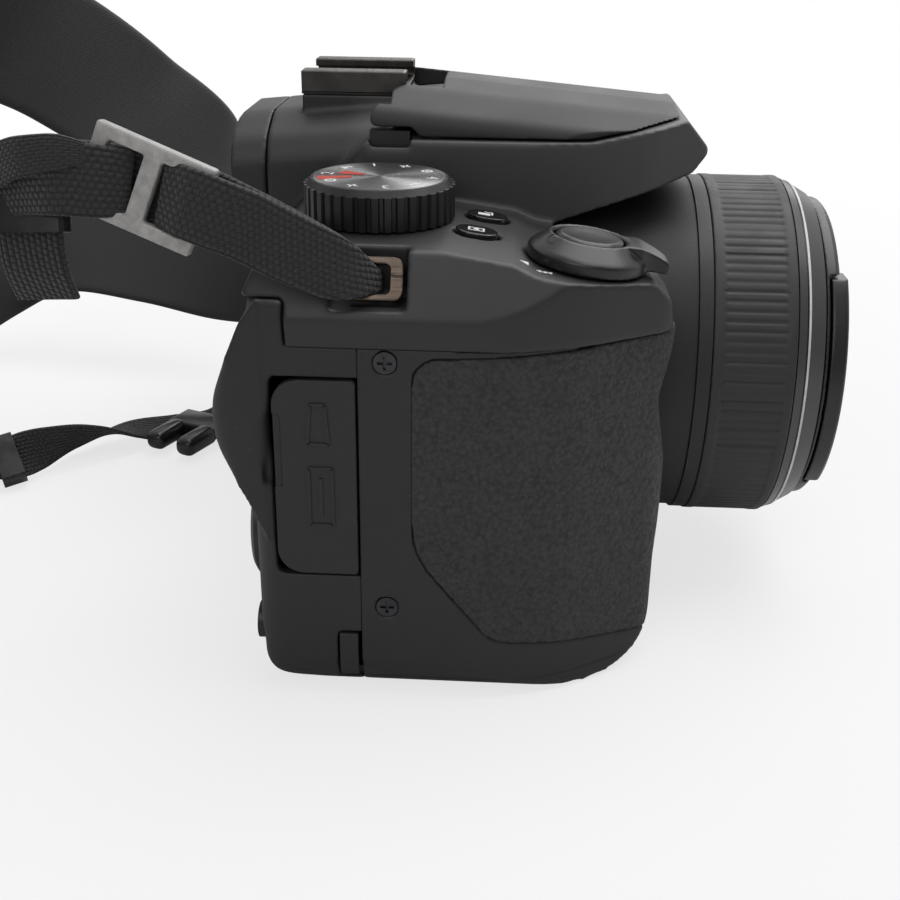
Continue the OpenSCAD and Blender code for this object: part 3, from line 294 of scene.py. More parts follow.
def twill_band(name, tone):
    """Smooth neck band with very fine slanting ribs."""
    f = Finish(name, (tone, tone, tone), 0.66)
    f.shader.inputs["Sheen Weight"].default_value = 0.1
    f.shader.inputs["Sheen Roughness"].default_value = 0.45
    cloth = f.node("UVMap", uv_map="weave").outputs[0]
    slant = f.node("Mapping", {"Vector": cloth, "Rotation": (0, 0, 0.9)}).outputs[0]
    ribs = f.node("TexWave", {"Vector": slant, "Scale": 760.0, "Distortion": 0.5, "Detail": 2.0,
                  "Detail Scale": 3.0}).outputs["Fac"]
    broad = f.noise(18, 3)
    f.colour(f.mix(f.calc("MULTIPLY_ADD", ribs, 0.5, f.calc("MULTIPLY", broad, 0.5)),
                   grey(tone * 0.82), grey(tone * 1.1)))
    f.bump(ribs, 0.014)
    return f.bump(f.noise(0.3, 2), 0.02).material


def pale_plastic(name, tone):
    """Slider: pale satin plastic, scuffed by the webbing."""
    f = Finish(name, (tone, tone, tone), 0.35)
    scuffs = f.noise(1.6, 5, 0.65)
    f.colour(f.mix(f.remap(scuffs, 0.3, 0.7), grey(tone * 0.7, 0.02), grey(tone * 1.15, 0.02)))
    f.rough(f.remap(scuffs, 0.3, 0.7, 0.25, 0.5))
    return f.bump(f.noise(0.4, 2), 0.008).material


def edge_lit_ring(name, edge_y):
    """Dark polished ring with one thin painted highlight along its front edge."""
    f = Finish(name, (0.02, 0.02, 0.02), 0.25)
    back = f.node("SeparateXYZ", {"Vector": f.here()}).outputs["Y"]
    # Painted highlight: a thin bright line along the ring's front edge, made uneven by noise
    line = f.remap(back, edge_y + 0.42 * MM, edge_y + 0.36 * MM)
    uneven_highlight = f.remap(f.noise(4, 4), 0.3, 0.7, 0.75, 1)
    f.colour(f.mix(f.calc("MULTIPLY", line, uneven_highlight), grey(0.016), grey(0.62)))
    f.rough(f.remap(f.noise(2, 3), 0.3, 0.7, 0.2, 0.34))
    return f.material


def coated_glass(name, tint):
    """Lens glass with a faint coating colour and a breath of dust."""
    f = Finish(name, tint, 0.03, IOR=1.6)
    f.shader.inputs["Transmission Weight"].default_value = 0.85
    film = f.noise(9, 3)
    f.colour(f.mix(film, (*tint, 1), (tint[0] * 0.8, tint[1] * 0.9, tint[2], 1)))
    f.rough(f.remap(f.noise(2.5, 6, 0.7), 0.45, 0.8, 0.02, 0.12))
    return f.material


def dark_screen(name):
    """Switched-off display behind a glossy window, with finger marks."""
    f = Finish(name, (0.006, 0.007, 0.009), 0.06, IOR=1.5)
    marks = f.noise(11, 6, 0.7)
    f.colour(f.mix(marks, grey(0.004), (0.009, 0.010, 0.013, 1)))
    f.rough(f.remap(marks, 0.4, 0.75, 0.04, 0.2))
    return f.bump(f.noise(0.6, 2), 0.002).material


def circuit_board(name):
    """Green laminate crossed by copper tracks."""
    f = Finish(name, (0.01, 0.08, 0.03), 0.45)
    tracks = f.cells(3, "DISTANCE_TO_EDGE").outputs["Distance"]
    f.colour(f.mix(f.remap(tracks, 0.04, 0.09), (0.35, 0.26, 0.08, 1), (0.01, 0.07, 0.03, 1)))
    return f.bump(tracks, 0.05).material


def painted_mark(name, colour):
    """Printed paint, thin in places."""
    f = Finish(name, colour, 0.5)
    worn = f.noise(0.7, 4)
    f.colour(f.mix(f.remap(worn, 0.25, 0.5), tuple(c * 0.7 for c in colour) + (1,), (*colour, 1)))
    return f.material


DIAL_AT = (-35, 17)
DIAL_TOP = 79.95
# Plastics: tone, roughness, grain size and depth in mm, dust, gain of the painted light on the hump. Metals:
# colour, roughness
FINISHES = {
    "shell": moulded_plastic("shell_plastic", 0.0125, 0.56, 0.32, 0.035),
    "top": moulded_plastic("top_plastic", 0.0145, 0.5, 0.24, 0.02, 0.25, 3.0),
    # Painted shade: the lid's plastic is the top's plastic made darker
    "lid": moulded_plastic("lid_plastic_painted_shade", 0.0105, 0.55, 0.24, 0.02, 0.25),
    "bezel": moulded_plastic("bezel_plastic", 0.042, 0.34, 0.3, 0.006, 0.1),
    "trim": edge_lit_ring("trim_ring_painted_highlight", min(v.co.y for v in nodes["trim_ring"].data.vertices)),
    "seam": painted_mark("seam_shadow", (0.003, 0.003, 0.003)),
    "black": moulded_plastic("control_plastic", 0.009, 0.42, 0.22, 0.015, 0.2),
    "gloss": glossy_plastic("polished_plastic", 0.009, 0.14),
    "lever": moulded_plastic("lever_plastic", 0.011, 0.34, 0.2, 0.008, 0.15),
    "cap": moulded_plastic("cap_plastic", 0.009, 0.36, 0.25, 0.01, 0.3),
    "rubber": matte_rubber("cover_rubber", 0.016),
    "grip": leatherette("grip_leatherette", 0.017),
    "ribrubber": matte_rubber("ring_rubber", 0.02, 0.55),
    "steel": bare_metal("turned_steel", (0.5, 0.5, 0.51), 0.28),
    "spun": spun_metal("spun_dial_face", (*DIAL_AT, DIAL_TOP)),
    "nickel": bare_metal("worn_nickel", (0.13, 0.1, 0.08), 0.36),
    "screwblack": bare_metal("blackened_steel", (0.07, 0.07, 0.075), 0.38),
    "shoemetal": bare_metal("painted_shoe_metal", (0.10, 0.095, 0.09), 0.42, (6, 0.3, 0.3)),
    "glass": coated_glass("lens_glass", (0.75, 0.85, 0.9)),
    "clear": coated_glass("flash_prism", (0.92, 0.95, 0.97)),
    "mirror": bare_metal("flash_mirror", (0.8, 0.8, 0.8), 0.12),
    "screen": dark_screen("display_glass"),
    "board": circuit_board("board_laminate"),
    "alloy": bare_metal("pressed_alloy", (0.42, 0.43, 0.44), 0.35),
    "web": woven_webbing("strap_webbing", 0.0145),
    "band": twill_band("neck_band_twill", 0.009),
    "buckle": pale_plastic("slider_plastic", 0.34),
    "clip": glossy_plastic("clip_plastic", 0.012, 0.22),
    "white": painted_mark("white_mark", (0.72, 0.72, 0.7)),
    "red": painted_mark("red_mark", (0.45, 0.045, 0.025)),
}


def piece(name, bm, finish, body, smooth_deg=35):
    """Turns a bmesh into a finished piece that rides on a body."""
    mesh = bpy.data.meshes.new(name)
    bm.to_mesh(mesh)
    bm.free()
    made = bpy.data.objects.new(name, mesh)
    scene.collection.objects.link(made)
    mesh.materials.append(FINISHES[finish])
    mesh.shade_smooth()
    mesh.set_sharp_from_angle(angle=math.radians(smooth_deg))
    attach(made, body)
    return made


# Neck strap: the routes that its solids follow, in millimetres
RIGHT_ROUTE = [(-54.4, 15.2, 69), (-56.6, 16, 69.5), (-59.8, 20, 71.6), (-62.2, 27, 75.6),
               (-63.5, 36, 80.4), (-63.2, 46, 83.4), (-62, 56, 84.4), (-59, 66, 83), (-56.4, 74.8, 80.4)]
RIGHT_LEAN = [(0.3, 0, 1), (0.25, 0, 1), (0.1, -0.2, 1), (0.1, -0.4, 1), (0.1, -0.4, 1), (0.1, -0.3, 1),
              (0.1, -0.1, 1), (0.1, 0.1, 1), (0.1, 0.2, 1)]
RIGHT_WIDTH = [0.36, 0.42, 0.86, 1, 1, 1, 1, 1, 1]
BAND_ROUTE = [(-55.8, 76.6, 79.8), (-48, 96, 80), (-32, 112, 88), (-8, 114, 97), (12, 104, 99),
              (22, 90, 92), (29, 72, 78), (38, 57, 63), (54, 51, 47), (72, 55, 35), (86, 70, 29),
              (94, 92, 30), (98, 116, 31), (94, 136, 26), (78, 146, 19), (60, 142, 16)]
BAND_LEAN = [(0.2, 0.2, 1), (0.2, 0, 1), (0.2, -0.4, 1), (0.1, -0.5, 1), (0.1, -0.3, 1), (0.2, 0.2, 1),
             (0.2, 0.4, 1), (0.1, 0.4, 1), (0.1, 0.3, 1), (0, 0.1, 1), (0.6, -0.2, 1), (0.9, 0, 1),
             (0.9, 0, 1), (0.4, 0.2, 1), (0, 0.3, 1), (0, 0.3, 1)]
LEFT_ROUTE = [(51.4, 15.2, 69), (53.6, 16, 69.5), (58.4, 20, 70.4), (62.4, 26, 63), (63.5, 33, 45),
              (60, 41, 24), (52, 57, 9), (45, 65.5, 4), (41, 75, 2.6), (37, 84, 3.4), (29, 93, 4.8),
              (19, 100, 5.8), (13, 110, 4.4), (18, 124, 3.4), (34, 133, 6.5), (58.6, 141.6, 15.2)]
LEFT_LEAN = [(-0.3, 0, 1), (-0.2, 0, 1), (0.3, 0.6, 1), (0.2, 1, 0.6), (0, 1, 0.3), (0.2, 1, 0.5),
             (0.7, 0.4, 0.5), (1, 0.3, 0.15), (1, 0.2, 0.25), (0.9, 0.4, 0.0), (0.5, 0.5, -0.75),
             (-0.3, 0.2, -0.9), (-1, 0, -0.35), (-0.7, 0.6, -0.2), (-0.3, 0.6, -0.6), (0, 0.2, -1)]
LEFT_WIDTH = [0.36, 0.38, 0.7, 0.95] + [1] * 12
WEBBING_W, WEBBING_T, BAND_W, BAND_T = 10, 1.0, 28, 1.5
SPANS = 10


def trail(points):
    """Smooth run through the given points, each span cut in the same number of steps."""
    p = [Vector(q) if hasattr(q, "__len__") else Vector((q, 0, 0)) for q in points]
    run = []
    for i in range(len(p) - 1):
        a, b, c, d = p[max(i - 1, 0)], p[i], p[i + 1], p[min(i + 2, len(p) - 1)]
        for k in range(SPANS):
            t = k / SPANS
            run.append(0.5 * (2 * b + (c - a) * t + (2 * a - 5 * b + 4 * c - d) * t * t
                              + (3 * b - a - 3 * c + d) * t ** 3))
    return run + [p[-1]]


def run_frames(route, lean):
    """Point, heading, width way and face way at every step of a route."""
    line, lay = trail(route), trail(lean)
    rows = []
    for i, point in enumerate(line):
        along = (line[min(i + 1, len(line) - 1)] - line[max(i - 1, 0)]).normalized()
        across = (lay[i] - along * lay[i].dot(along)).normalized()
        rows.append((point, along, across, along.cross(across)))
    return rows


def along_run(keys, share):
    """Eased value between (share, lift, width, shift) keys of one layer of webbing."""
    for a, b in zip(keys, keys[1:]):
        if share <= b[0]:
            t = max(0.0, (share - a[0]) / (b[0] - a[0]))
            t = t * t * (3 - 2 * t)
            return [u + (v - u) * t for u, v in zip(a[1:], b[1:])]
    return keys[-1][1:]


def ribbon(name, route, lean, widths, wide, thick, layers, finish, crown=0.0, cells=8):
    """Layers of flat webbing along a route, with the cloth's own UV in metres."""
    rows = run_frames(route, lean)
    half = [v.x * wide for v in trail(widths)]
    reach = [0.0]
    for i in range(1, len(rows)):
        reach.append(reach[-1] + (rows[i][0] - rows[i - 1][0]).length)
    bm = bmesh.new()
    cloth = bm.loops.layers.uv.new("weave")
    for keys in layers:
        picked = [i for i, r in enumerate(reach) if keys[0][0] <= r / reach[-1] <= keys[-1][0]]
        steps = len(picked) - 1
        made = bmesh.ops.create_grid(bm, x_segments=cells, y_segments=steps, size=0.5)["verts"]
        spots = {}
        for v in made:
            i = picked[round((v.co.y + 0.5) * steps)]
            t = v.co.x
            point, along, across, face = rows[i]
            lift, width, shift = along_run(keys, reach[i] / reach[-1])
            rise = lift + crown * (1 - 4 * t * t) * math.copysign(1, lift)
            spots[v] = (t * half[i], reach[i])
            v.co = (point + across * (t * half[i] * width + shift) + face * rise) * MM
        for f in {f for v in made for f in v.link_faces}:
            for loop in f.loops:
                loop[cloth].uv = Vector(spots[loop.vert]) * MM
    made = piece(name, bm, finish, "camera", smooth_deg=60)
    wall = made.modifiers.new("cloth_thickness", "SOLIDIFY")
    wall.thickness = thick * MM
    wall.offset = 0
    soft = made.modifiers.new("rolled_edge", "SUBSURF")
    soft.levels = soft.render_levels = 1
    return made, [r[0] * MM for r in rows], reach[-1] * MM


def round_edges(bm, edges, radius, segments):
    bmesh.ops.bevel(bm, geom=list(edges), offset=radius, offset_type="OFFSET", affect="EDGES",
                    segments=segments, profile=0.5, material=-1)


def stand(bm, point, *axes):
    """Turns a fitting's own axes to the strap's and carries it to its point."""
    turn = Matrix(axes).transposed().to_4x4()
    bmesh.ops.transform(bm, matrix=Matrix.Scale(MM, 4) @ Matrix.Translation(point) @ turn, verts=bm.verts)


def slider(name, route, lean, at, long, wide, thick, turn_deg):
    """Ladder slider: a frame with two slots that the webbing threads through."""
    point, along, across, face = run_frames(route, lean)[at * SPANS]
    bar, half_rung, rail = 2.2, 1.3, 2.0
    cols = [-long / 2, -long / 2 + bar, -half_rung, half_rung, long / 2 - bar, long / 2]
    lines = [-wide / 2, -wide / 2 + rail, wide / 2 - rail, wide / 2]
    bm = bmesh.new()
    bmesh.ops.create_grid(bm, x_segments=5, y_segments=3, size=0.5)
    for v in bm.verts:
        v.co = (cols[round((v.co.x + 0.5) * 5)], lines[round((v.co.y + 0.5) * 3)], 0)
    middles = [(f, f.calc_center_median()) for f in bm.faces]
    slots = [f for f, spot in middles if abs(spot.y) < 0.5 and half_rung < abs(spot.x) < long / 2 - bar]
    bmesh.ops.delete(bm, geom=slots, context="FACES")
    bmesh.ops.solidify(bm, geom=bm.faces[:], thickness=thick)
    middle = sum(v.co.z for v in bm.verts) / len(bm.verts)
    bmesh.ops.translate(bm, verts=bm.verts, vec=(0, 0, -middle))
    askew = Matrix.Rotation(math.radians(turn_deg), 3, "Z")
    bmesh.ops.rotate(bm, verts=bm.verts, cent=(0, 0, 0), matrix=askew)
    round_edges(bm, [e for e in bm.edges if e.calc_face_angle(0) > 0.5], 0.45, 3)
    bmesh.ops.recalc_face_normals(bm, faces=bm.faces)
    stand(bm, point, along, across, face)
    return piece(name, bm, "buckle", "camera")


# Layers of webbing, as keys of (share of the run, lift, width, shift)
PLAIN = [[(0, 0.001, 1, 0), (1, 0.001, 1, 0)]]
RIGHT_LAYERS = [
    [(0, 0.001, 1, 0), (0.1, 0.56, 1, 0), (0.36, 0.8, 1, 0), (0.43, 2.1, 1, 0), (0.68, 2.1, 1, 0),
     (0.78, 0.8, 1, 0), (1, 0.4, 1, 0)],
    [(0, -0.001, 1, 0), (0.1, -0.56, 1, 0), (0.32, -0.8, 1, 0), (0.4, -2.2, 1, 0), (0.46, -2.0, 1, 0),
     (0.5, -0.5, 0.95, 0), (0.535, 1.0, 0.9, 0)],
    [(0.568, 1.0, 0.9, 0), (0.6, -0.5, 0.95, 0), (0.645, -2.4, 1, 0), (0.72, -4.2, 1.05, 0.4),
     (0.82, -3.0, 1, 0.3), (0.92, -1.2, 1, 0), (1, -0.8, 1, 0)],
    [(0.655, -2.6, 0.3, 3.6), (0.7, -4.4, 0.5, 3.6), (0.76, -5.6, 0.55, 3.2), (0.84, -4.4, 0.6, 2.4),
     (0.92, -2.2, 0.6, 1.6)]]
strap_right, right_path, right_long = ribbon("strap_webbing_right", RIGHT_ROUTE, RIGHT_LEAN, RIGHT_WIDTH,
                                             WEBBING_W, WEBBING_T, RIGHT_LAYERS, "web", crown=0.12)
strap_band, band_path, band_long = ribbon("strap_neck_band", BAND_ROUTE, BAND_LEAN, [1] * len(BAND_ROUTE),
                                          BAND_W, BAND_T, PLAIN, "band", crown=0.2, cells=14)
strap_left, left_path, left_long = ribbon("strap_webbing_left", LEFT_ROUTE, LEFT_LEAN, LEFT_WIDTH,
                                          WEBBING_W, WEBBING_T, PLAIN, "web", crown=0.12)


TAB_T, TAB_LAP = 2.6, 3.5


def end_tab(name, rows, finish):
    """Stitched tab that joins the webbing to the neck band."""
    points = [tuple(r[0]) for r in rows]
    leans = [tuple(r[2]) for r in rows]
    steps = len(points) - 1
    widths = [0.42 + 0.6 * min(1, 1.6 * i / steps) for i in range(len(points))]
    return ribbon(name, points, leans, widths, BAND_W, TAB_T, PLAIN, finish, crown=0.3, cells=10)[0]


def reached(rows):
    """A run with one more row laid a little before its first, for a tab that covers the joint."""
    point, along, across, face = rows[0]
    return [(point - (rows[1][0] - point).normalized() * TAB_LAP, along, across, face)] + rows


CLIP_PRONG, CLIP_ACROSS, CLIP_SHIFT = (-0.92, 0.39, 0), (0.39, 0.92, 0), (-5, 0, 0.6)


def end_clip(name, route, lean, at, wide):
    """Black clip that holds the webbing: a flat body with two rounded prongs."""
    point = run_frames(route, lean)[at][0] + Vector(CLIP_SHIFT)
    prong, across = Vector(CLIP_PRONG).normalized(), Vector(CLIP_ACROSS).normalized()
    prong_size = (wide * 0.36, 11, 4.4)
    bm = bmesh.new()
    for place, size, radius in (((0, -3.5, 0), (wide, 8, 3.2), 0.8),
                                ((-wide * 0.31, 4, -0.4), prong_size, 1.7),
                                ((wide * 0.31, 4, -0.4), prong_size, 1.7)):
        put = Matrix.Translation(place) @ Matrix.Diagonal((*size, 1))
        block = bmesh.ops.create_cube(bm, size=1, matrix=put)
        round_edges(bm, {e for v in block["verts"] for e in v.link_edges}, radius, 4)
    stand(bm, point, across, prong, across.cross(prong))
    return piece(name, bm, "clip", "camera")


KEEPER_LONG, KEEPER_WALL = 5, 0.7


def keeper(name, rows, wide, thick):
    """Slim loop that holds the spare webbing against the strap."""
    point, along, across, face = rows
    bm = bmesh.new()
    bmesh.ops.create_cube(bm, size=1, matrix=Matrix.Diagonal((KEEPER_LONG, wide, thick, 1)))
    ends = [f for f in bm.faces if abs(f.normal.x) > 0.9]
    bmesh.ops.delete(bm, geom=ends, context="FACES_ONLY")
    round_edges(bm, [e for e in bm.edges if abs(e.verts[0].co.x - e.verts[1].co.x) > 1], 0.9, 4)
    bmesh.ops.recalc_face_normals(bm, faces=bm.faces)
    bmesh.ops.solidify(bm, geom=bm.faces[:], thickness=KEEPER_WALL)
    stand(bm, point, along, across, face)
    return piece(name, bm, "clip", "camera")


band_rows = run_frames(BAND_ROUTE, BAND_LEAN)
tab_near = end_tab("strap_end_tab_near", reached(band_rows[0:8]), "black")
tab_far = end_tab("strap_end_tab_far", reached(band_rows[-1:-9:-1]), "black")
slider_right = slider("strap_slider_right", RIGHT_ROUTE, RIGHT_LEAN, at=5, long=17.4, wide=12.6, thick=2.2,
                      turn_deg=10)
clip_left = end_clip("strap_clip_left", LEFT_ROUTE, LEFT_LEAN, at=7 * SPANS + 5, wide=13.5)
TAIL_ROUTE = [(-61.2, 63.4, 80.4), (-62.2, 63.2, 76), (-62.2, 62.8, 71), (-60.6, 62.2, 66.5)]
TAIL_LEAN = [(0.1, 1, 0)] * len(TAIL_ROUTE)
keeper_right = keeper("strap_keeper_right", run_frames(TAIL_ROUTE, TAIL_LEAN)[4], wide=11.6, thick=3.6)
keeper_left = keeper("strap_keeper_left", run_frames(LEFT_ROUTE, LEFT_LEAN)[11 * SPANS + 6], wide=11.8,
                     thick=3.8)
tail_right = ribbon("strap_tail_right", TAIL_ROUTE, TAIL_LEAN, [1] * len(TAIL_ROUTE), WEBBING_W, WEBBING_T,
                    PLAIN, "web", crown=0.1)[0]
for strap, node in ((strap_right, "strap_right"), (strap_band, "strap_band"), (strap_left, "strap_left")):
    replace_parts(strap, node)
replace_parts(slider_right, "strap_fittings")
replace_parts(clip_left, "strap_fittings")


# Moulded shells: the solids with every edge softened as a moulding is
def baked(made):
    """Replaces an object's mesh by what its modifiers make of it."""
    bpy.context.view_layer.update()
    done = bpy.data.meshes.new_from_object(made.evaluated_get(bpy.context.evaluated_depsgraph_get()))
    made.modifiers.clear()
    made.data = done
    return done


def eased(made, passes, group=""):
    """Smooths a mesh, or only the vertices of one group."""
    soft = made.modifiers.new("soft_edges", "SMOOTH")
    soft.factor = 0.5
    soft.iterations = passes
    soft.vertex_group = group


WORN_REACH, WORN_PASSES = 11, 160


def moulded(name, finish, body, parts, grain_mm, passes, kept=1.0, worn=()):
    """Soft skin over some solids: remeshed fine, smoothed, rounded more at worn corners, then thinned."""
    bm = bmesh.new()
    for part in parts:
        bm.from_mesh(nodes[part].data)
    bmesh.ops.remove_doubles(bm, verts=bm.verts, dist=1e-6)
    made = piece(name, bm, finish, body)
    skin = made.modifiers.new("skin", "REMESH")
    skin.mode = "VOXEL"
    skin.voxel_size = grain_mm * MM
    baked(made)
    eased(made, passes)
    if worn:
        corners = made.vertex_groups.new(name="corners")
        for v in made.data.vertices:
            away = min((v.co - mm(*place)).length for place in worn) / (WORN_REACH * MM)
            if away < 1:
                corners.add([v.index], 1 - away * away, "REPLACE")
        eased(made, WORN_PASSES, "corners")
    if kept < 1:
        thin = made.modifiers.new("thinned", "DECIMATE")
        thin.ratio = kept
    done = baked(made)
    made.vertex_groups.clear()
    done.name = name
    done.materials.clear()
    done.materials.append(FINISHES[finish])
    done.shade_smooth()
    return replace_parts(made, *parts)


# Piece, finish, body, solids, grain in mm, smoothing passes, share of faces kept, worn corners
SKINS = {row[0]: moulded(*row) for row in (
    ("body_front_moulding", "shell", "camera", ["front_shell"], 0.5, 3),
    ("body_rear_moulding", "shell", "camera", ["rear_cover"], 0.5, 3, 1.0, [(-60, 35, 0), (-58, 41, 47)]),
    ("body_top_moulding", "top", "camera", ["top_cover", "finder_housing"], 0.4, 5, 0.45),
    ("flash_lid_moulding", "lid", "flash", ["flash_lid"], 0.17, 12, 0.35),
    ("eyepiece_moulding", "top", "camera", ["eyepiece_frame"], 0.3, 3),
    ("eyecup_rim", "rubber", "camera", ["eyecup"], 0.3, 5),
    ("ring_skin", "ribrubber", "camera", ["ribbed_ring"], 0.26, 4, 0.5),
    ("grip_skin", "grip", "camera", ["grip_rubber"], 0.4, 3),
    ("lever_ring", "lever", "zoom_ring_lever", ["zoom_lever"], 0.2, 6),
    ("shutter_cap", "lever", "shutter", ["shutter_button"], 0.18, 5),
    ("burst_cap", "gloss", "burst", ["burst_button"], 0.14, 8),
    ("finder_cap", "gloss", "finder_switch", ["finder_button"], 0.14, 8),
    ("lug_loops", "nickel", "camera", ["strap_lugs"], 0.12, 6),
    ("shoe_channel", "shoemetal", "camera", ["shoe_rails"], 0.2, 3),
    ("side_door", "rubber", "port_cover", ["port_door"], 0.2, 4),
    ("cable_door", "rubber", "cable_cover", ["cable_flap"], 0.15, 4),
    ("cap_disc", "cap", "cap", ["lens_cap"], 0.35, 3),
    ("cap_grip_right", "cap", "tab_right", ["cap_tab_right"], 0.2, 5),
    ("cap_grip_left", "cap", "tab_left", ["cap_tab_left"], 0.2, 5))}

OWN_FINISH = {"front_bezel": "bezel", "trim_ring": "trim"}
for name, node in nodes.items():
    for i, old in enumerate(node.data.materials):
        finish = OWN_FINISH.get(name, old.name if old else "")
        if finish in FINISHES:
            node.data.materials[i] = FINISHES[finish]


# Printed marks, drawn in millimetres on a flat sheet and laid on the surface under them
def stroke(bm, x, y, wide, high, turn=0.0):
    """A straight bar, finely cut so that it can follow a curved surface."""
    made = bmesh.ops.create_grid(bm, x_segments=3, y_segments=3, size=0.5)["verts"]
    place = Matrix.Translation((x, y, 0)) @ Matrix.Rotation(turn, 4, "Z")
    bmesh.ops.transform(bm, matrix=place @ Matrix.Diagonal((wide, high, 1, 1)), verts=made)


def dot(bm, x, y, r, sides=20):
    """A filled disc, or a triangle when it has three sides."""
    made = bmesh.ops.create_circle(bm, cap_ends=True, cap_tris=True, segments=sides, radius=r)["verts"]
    place = Matrix.Translation((x, y, 0)) @ Matrix.Rotation(math.pi / 2, 4, "Z")
    bmesh.ops.transform(bm, matrix=place, verts=made)


def sector(bm, x, y, inner, outer, start, sweep):
    """Part of a flat ring, swept from one radial edge."""
    ends = [bm.verts.new((r * math.cos(start), r * math.sin(start), 0)) for r in (inner, outer)]
    edge = bm.edges.new(ends)
    full = abs(sweep - 2 * math.pi) < 1e-6
    bmesh.ops.spin(bm, geom=ends + [edge], cent=(0, 0, 0), axis=(0, 0, 1), angle=sweep, steps=24,
                   use_merge=full)
    fresh = [v for v in bm.verts if not v.tag]
    bmesh.ops.translate(bm, verts=fresh, vec=(x, y, 0))


def settle(bm):
    """Tags what is drawn so far, so that only the next sector is moved."""
    for v in bm.verts:
        v.tag = True


def sheet_of(*shapes):
    """A sheet of marks from (maker, sizes) rows."""
    bm = bmesh.new()
    for maker, *sizes in shapes:
        settle(bm)
        maker(bm, *sizes)
    return bm


def numeral(bm, text, x, y, size, turn):
    """A plain number as a flat mesh."""
    curve = bpy.data.curves.new("numeral", "FONT")
    curve.body = text
    curve.size = size
    curve.align_x = curve.align_y = "CENTER"
    drawn = bpy.data.meshes.new_from_object(bpy.data.objects.new("numeral", curve))
    drawn.transform(Matrix.Translation((x, y, 0)) @ Matrix.Rotation(turn, 4, "Z"))
    bm.from_mesh(drawn)


def surface(made):
    """A piece's surface, to lay marks on."""
    mesh = made.data
    return BVHTree.FromPolygons([v.co for v in mesh.vertices], [f.vertices for f in mesh.polygons])


HOVER, SEARCH = 3, 8


def lay_marks(name, bm, place, across, up, onto, finish, body, rise=0.02, thick=0.04):
    """Lays a sheet of marks on a surface, square to it, with a paint's thickness."""
    across, up = Vector(across).normalized(), Vector(up).normalized()
    out = across.cross(up)
    under = surface(onto)
    for v in bm.verts:
        above = (Vector(place) + across * v.co.x + up * v.co.y + out * HOVER) * MM
        hit = under.ray_cast(above, -out, SEARCH * MM)[0]
        v.co = (hit or above - out * HOVER * MM) + out * rise * MM
    bmesh.ops.recalc_face_normals(bm, faces=bm.faces)
    if sum(f.normal.dot(out) for f in bm.faces) < 0:
        bmesh.ops.reverse_faces(bm, faces=bm.faces)
    bmesh.ops.solidify(bm, geom=bm.faces[:], thickness=-thick * MM)
    return piece(name, bm, finish, body)


DIAL_MARK_R, DIAL_STEP, DIAL_START = 8.3, 36, 12


def dial_marks():
    """Plain numbers, triangles, rings and crosses round the dial's face."""
    bm = bmesh.new()
    for place in range(360 // DIAL_STEP):
        turn = math.radians(DIAL_STEP * place + DIAL_START)
        x, y = DIAL_MARK_R * math.cos(turn), DIAL_MARK_R * math.sin(turn)
        face = turn - math.pi / 2
        kind = place % 5
        if kind in (0, 2):
            numeral(bm, str(1 + place // 2), x, y, 2.9, face)
        elif kind == 1:
            dot(bm, x, y, 1.0, 3)
            dot(bm, x + 0.9 * math.cos(face), y + 0.9 * math.sin(face), 0.7, 3)
        elif kind == 3:
            settle(bm)
            sector(bm, x, y, 0.6, 0.95, 0, 2 * math.pi)
            stroke(bm, x, y, 0.5, 0.5, face)
        else:
            stroke(bm, x, y, 1.9, 0.35, face)
            stroke(bm, x, y, 0.35, 1.9, face)
    return bm


def outline(wide, high, line, taper=0.0):
    """Four strokes around a socket's shape, one end narrower by the taper."""
    lean = math.atan2(taper, high)
    return [(stroke, 0, high / 2, wide - 2 * taper, line), (stroke, 0, -high / 2, wide, line),
            (stroke, (taper - wide) / 2, 0, line, high, -lean),
            (stroke, (wide - taper) / 2, 0, line, high, lean)]


# The ways that each printed surface faces: across and up
DIAL_FACE = ((1, 0, 0), (0, 1, 0))
BUTTON_FACE = ((0, -1, 0.14), (1, 0, 0))
REAR = ((-1, 0, 0), (0, 0, 1))
SIDE = ((0, -1, 0), (0, 0, 1))
PLATE = ((0, -1, -0.2), (1, 0, 0))
LEVER_FACE = ((0, -0.91, 0.42), (0.94, 0.14, 0.3))

plate, top_skin, door_skin = nodes["dial_plate"], SKINS["body_top_moulding"], SKINS["side_door"]
lay_marks("dial_marks", dial_marks(), (*DIAL_AT, DIAL_TOP), *DIAL_FACE, plate, "white", "dial")
lay_marks("dial_colour_fields", sheet_of((sector, 0, 0, 2.6, 6.6, math.radians(62), math.radians(22)),
                                         (sector, 0, 0, 4.4, 9.8, math.radians(98), math.radians(15))),
          (*DIAL_AT, DIAL_TOP), *DIAL_FACE, plate, "red", "dial")
lay_marks("burst_icon", sheet_of((stroke, -0.5, -0.5, 1.9, 1.3), (stroke, 0.75, 0.1, 0.3, 1.5),
                                 (stroke, 0.2, 0.9, 1.4, 0.3)),
          (-30.5, 0, 73), *BUTTON_FACE, SKINS["burst_cap"], "white", "burst")
lay_marks("finder_icon", sheet_of((stroke, 0, -0.75, 2.4, 0.3), (stroke, 0, 0.75, 2.4, 0.3),
                                  (stroke, -1.1, 0, 0.3, 1.6), (stroke, 1.1, 0, 0.3, 1.6),
                                  (dot, 0, 0, 0.45)),
          (-41.5, 1.4, 73), *BUTTON_FACE, SKINS["finder_cap"], "white", "finder_switch")
lay_marks("play_icon", sheet_of((dot, 0, 0, 1.3, 3)), (-35, 35.9, 43), (0, 0, -1), (-1, 0, 0),
          nodes["play_button"], "white", "play")
lay_marks("menu_icon", sheet_of(*((stroke, 0, h, 2.4, 0.35) for h in (-0.8, 0, 0.8))),
          (-52.5, 35.9, 9), *REAR, nodes["menu_button"], "white", "menu")
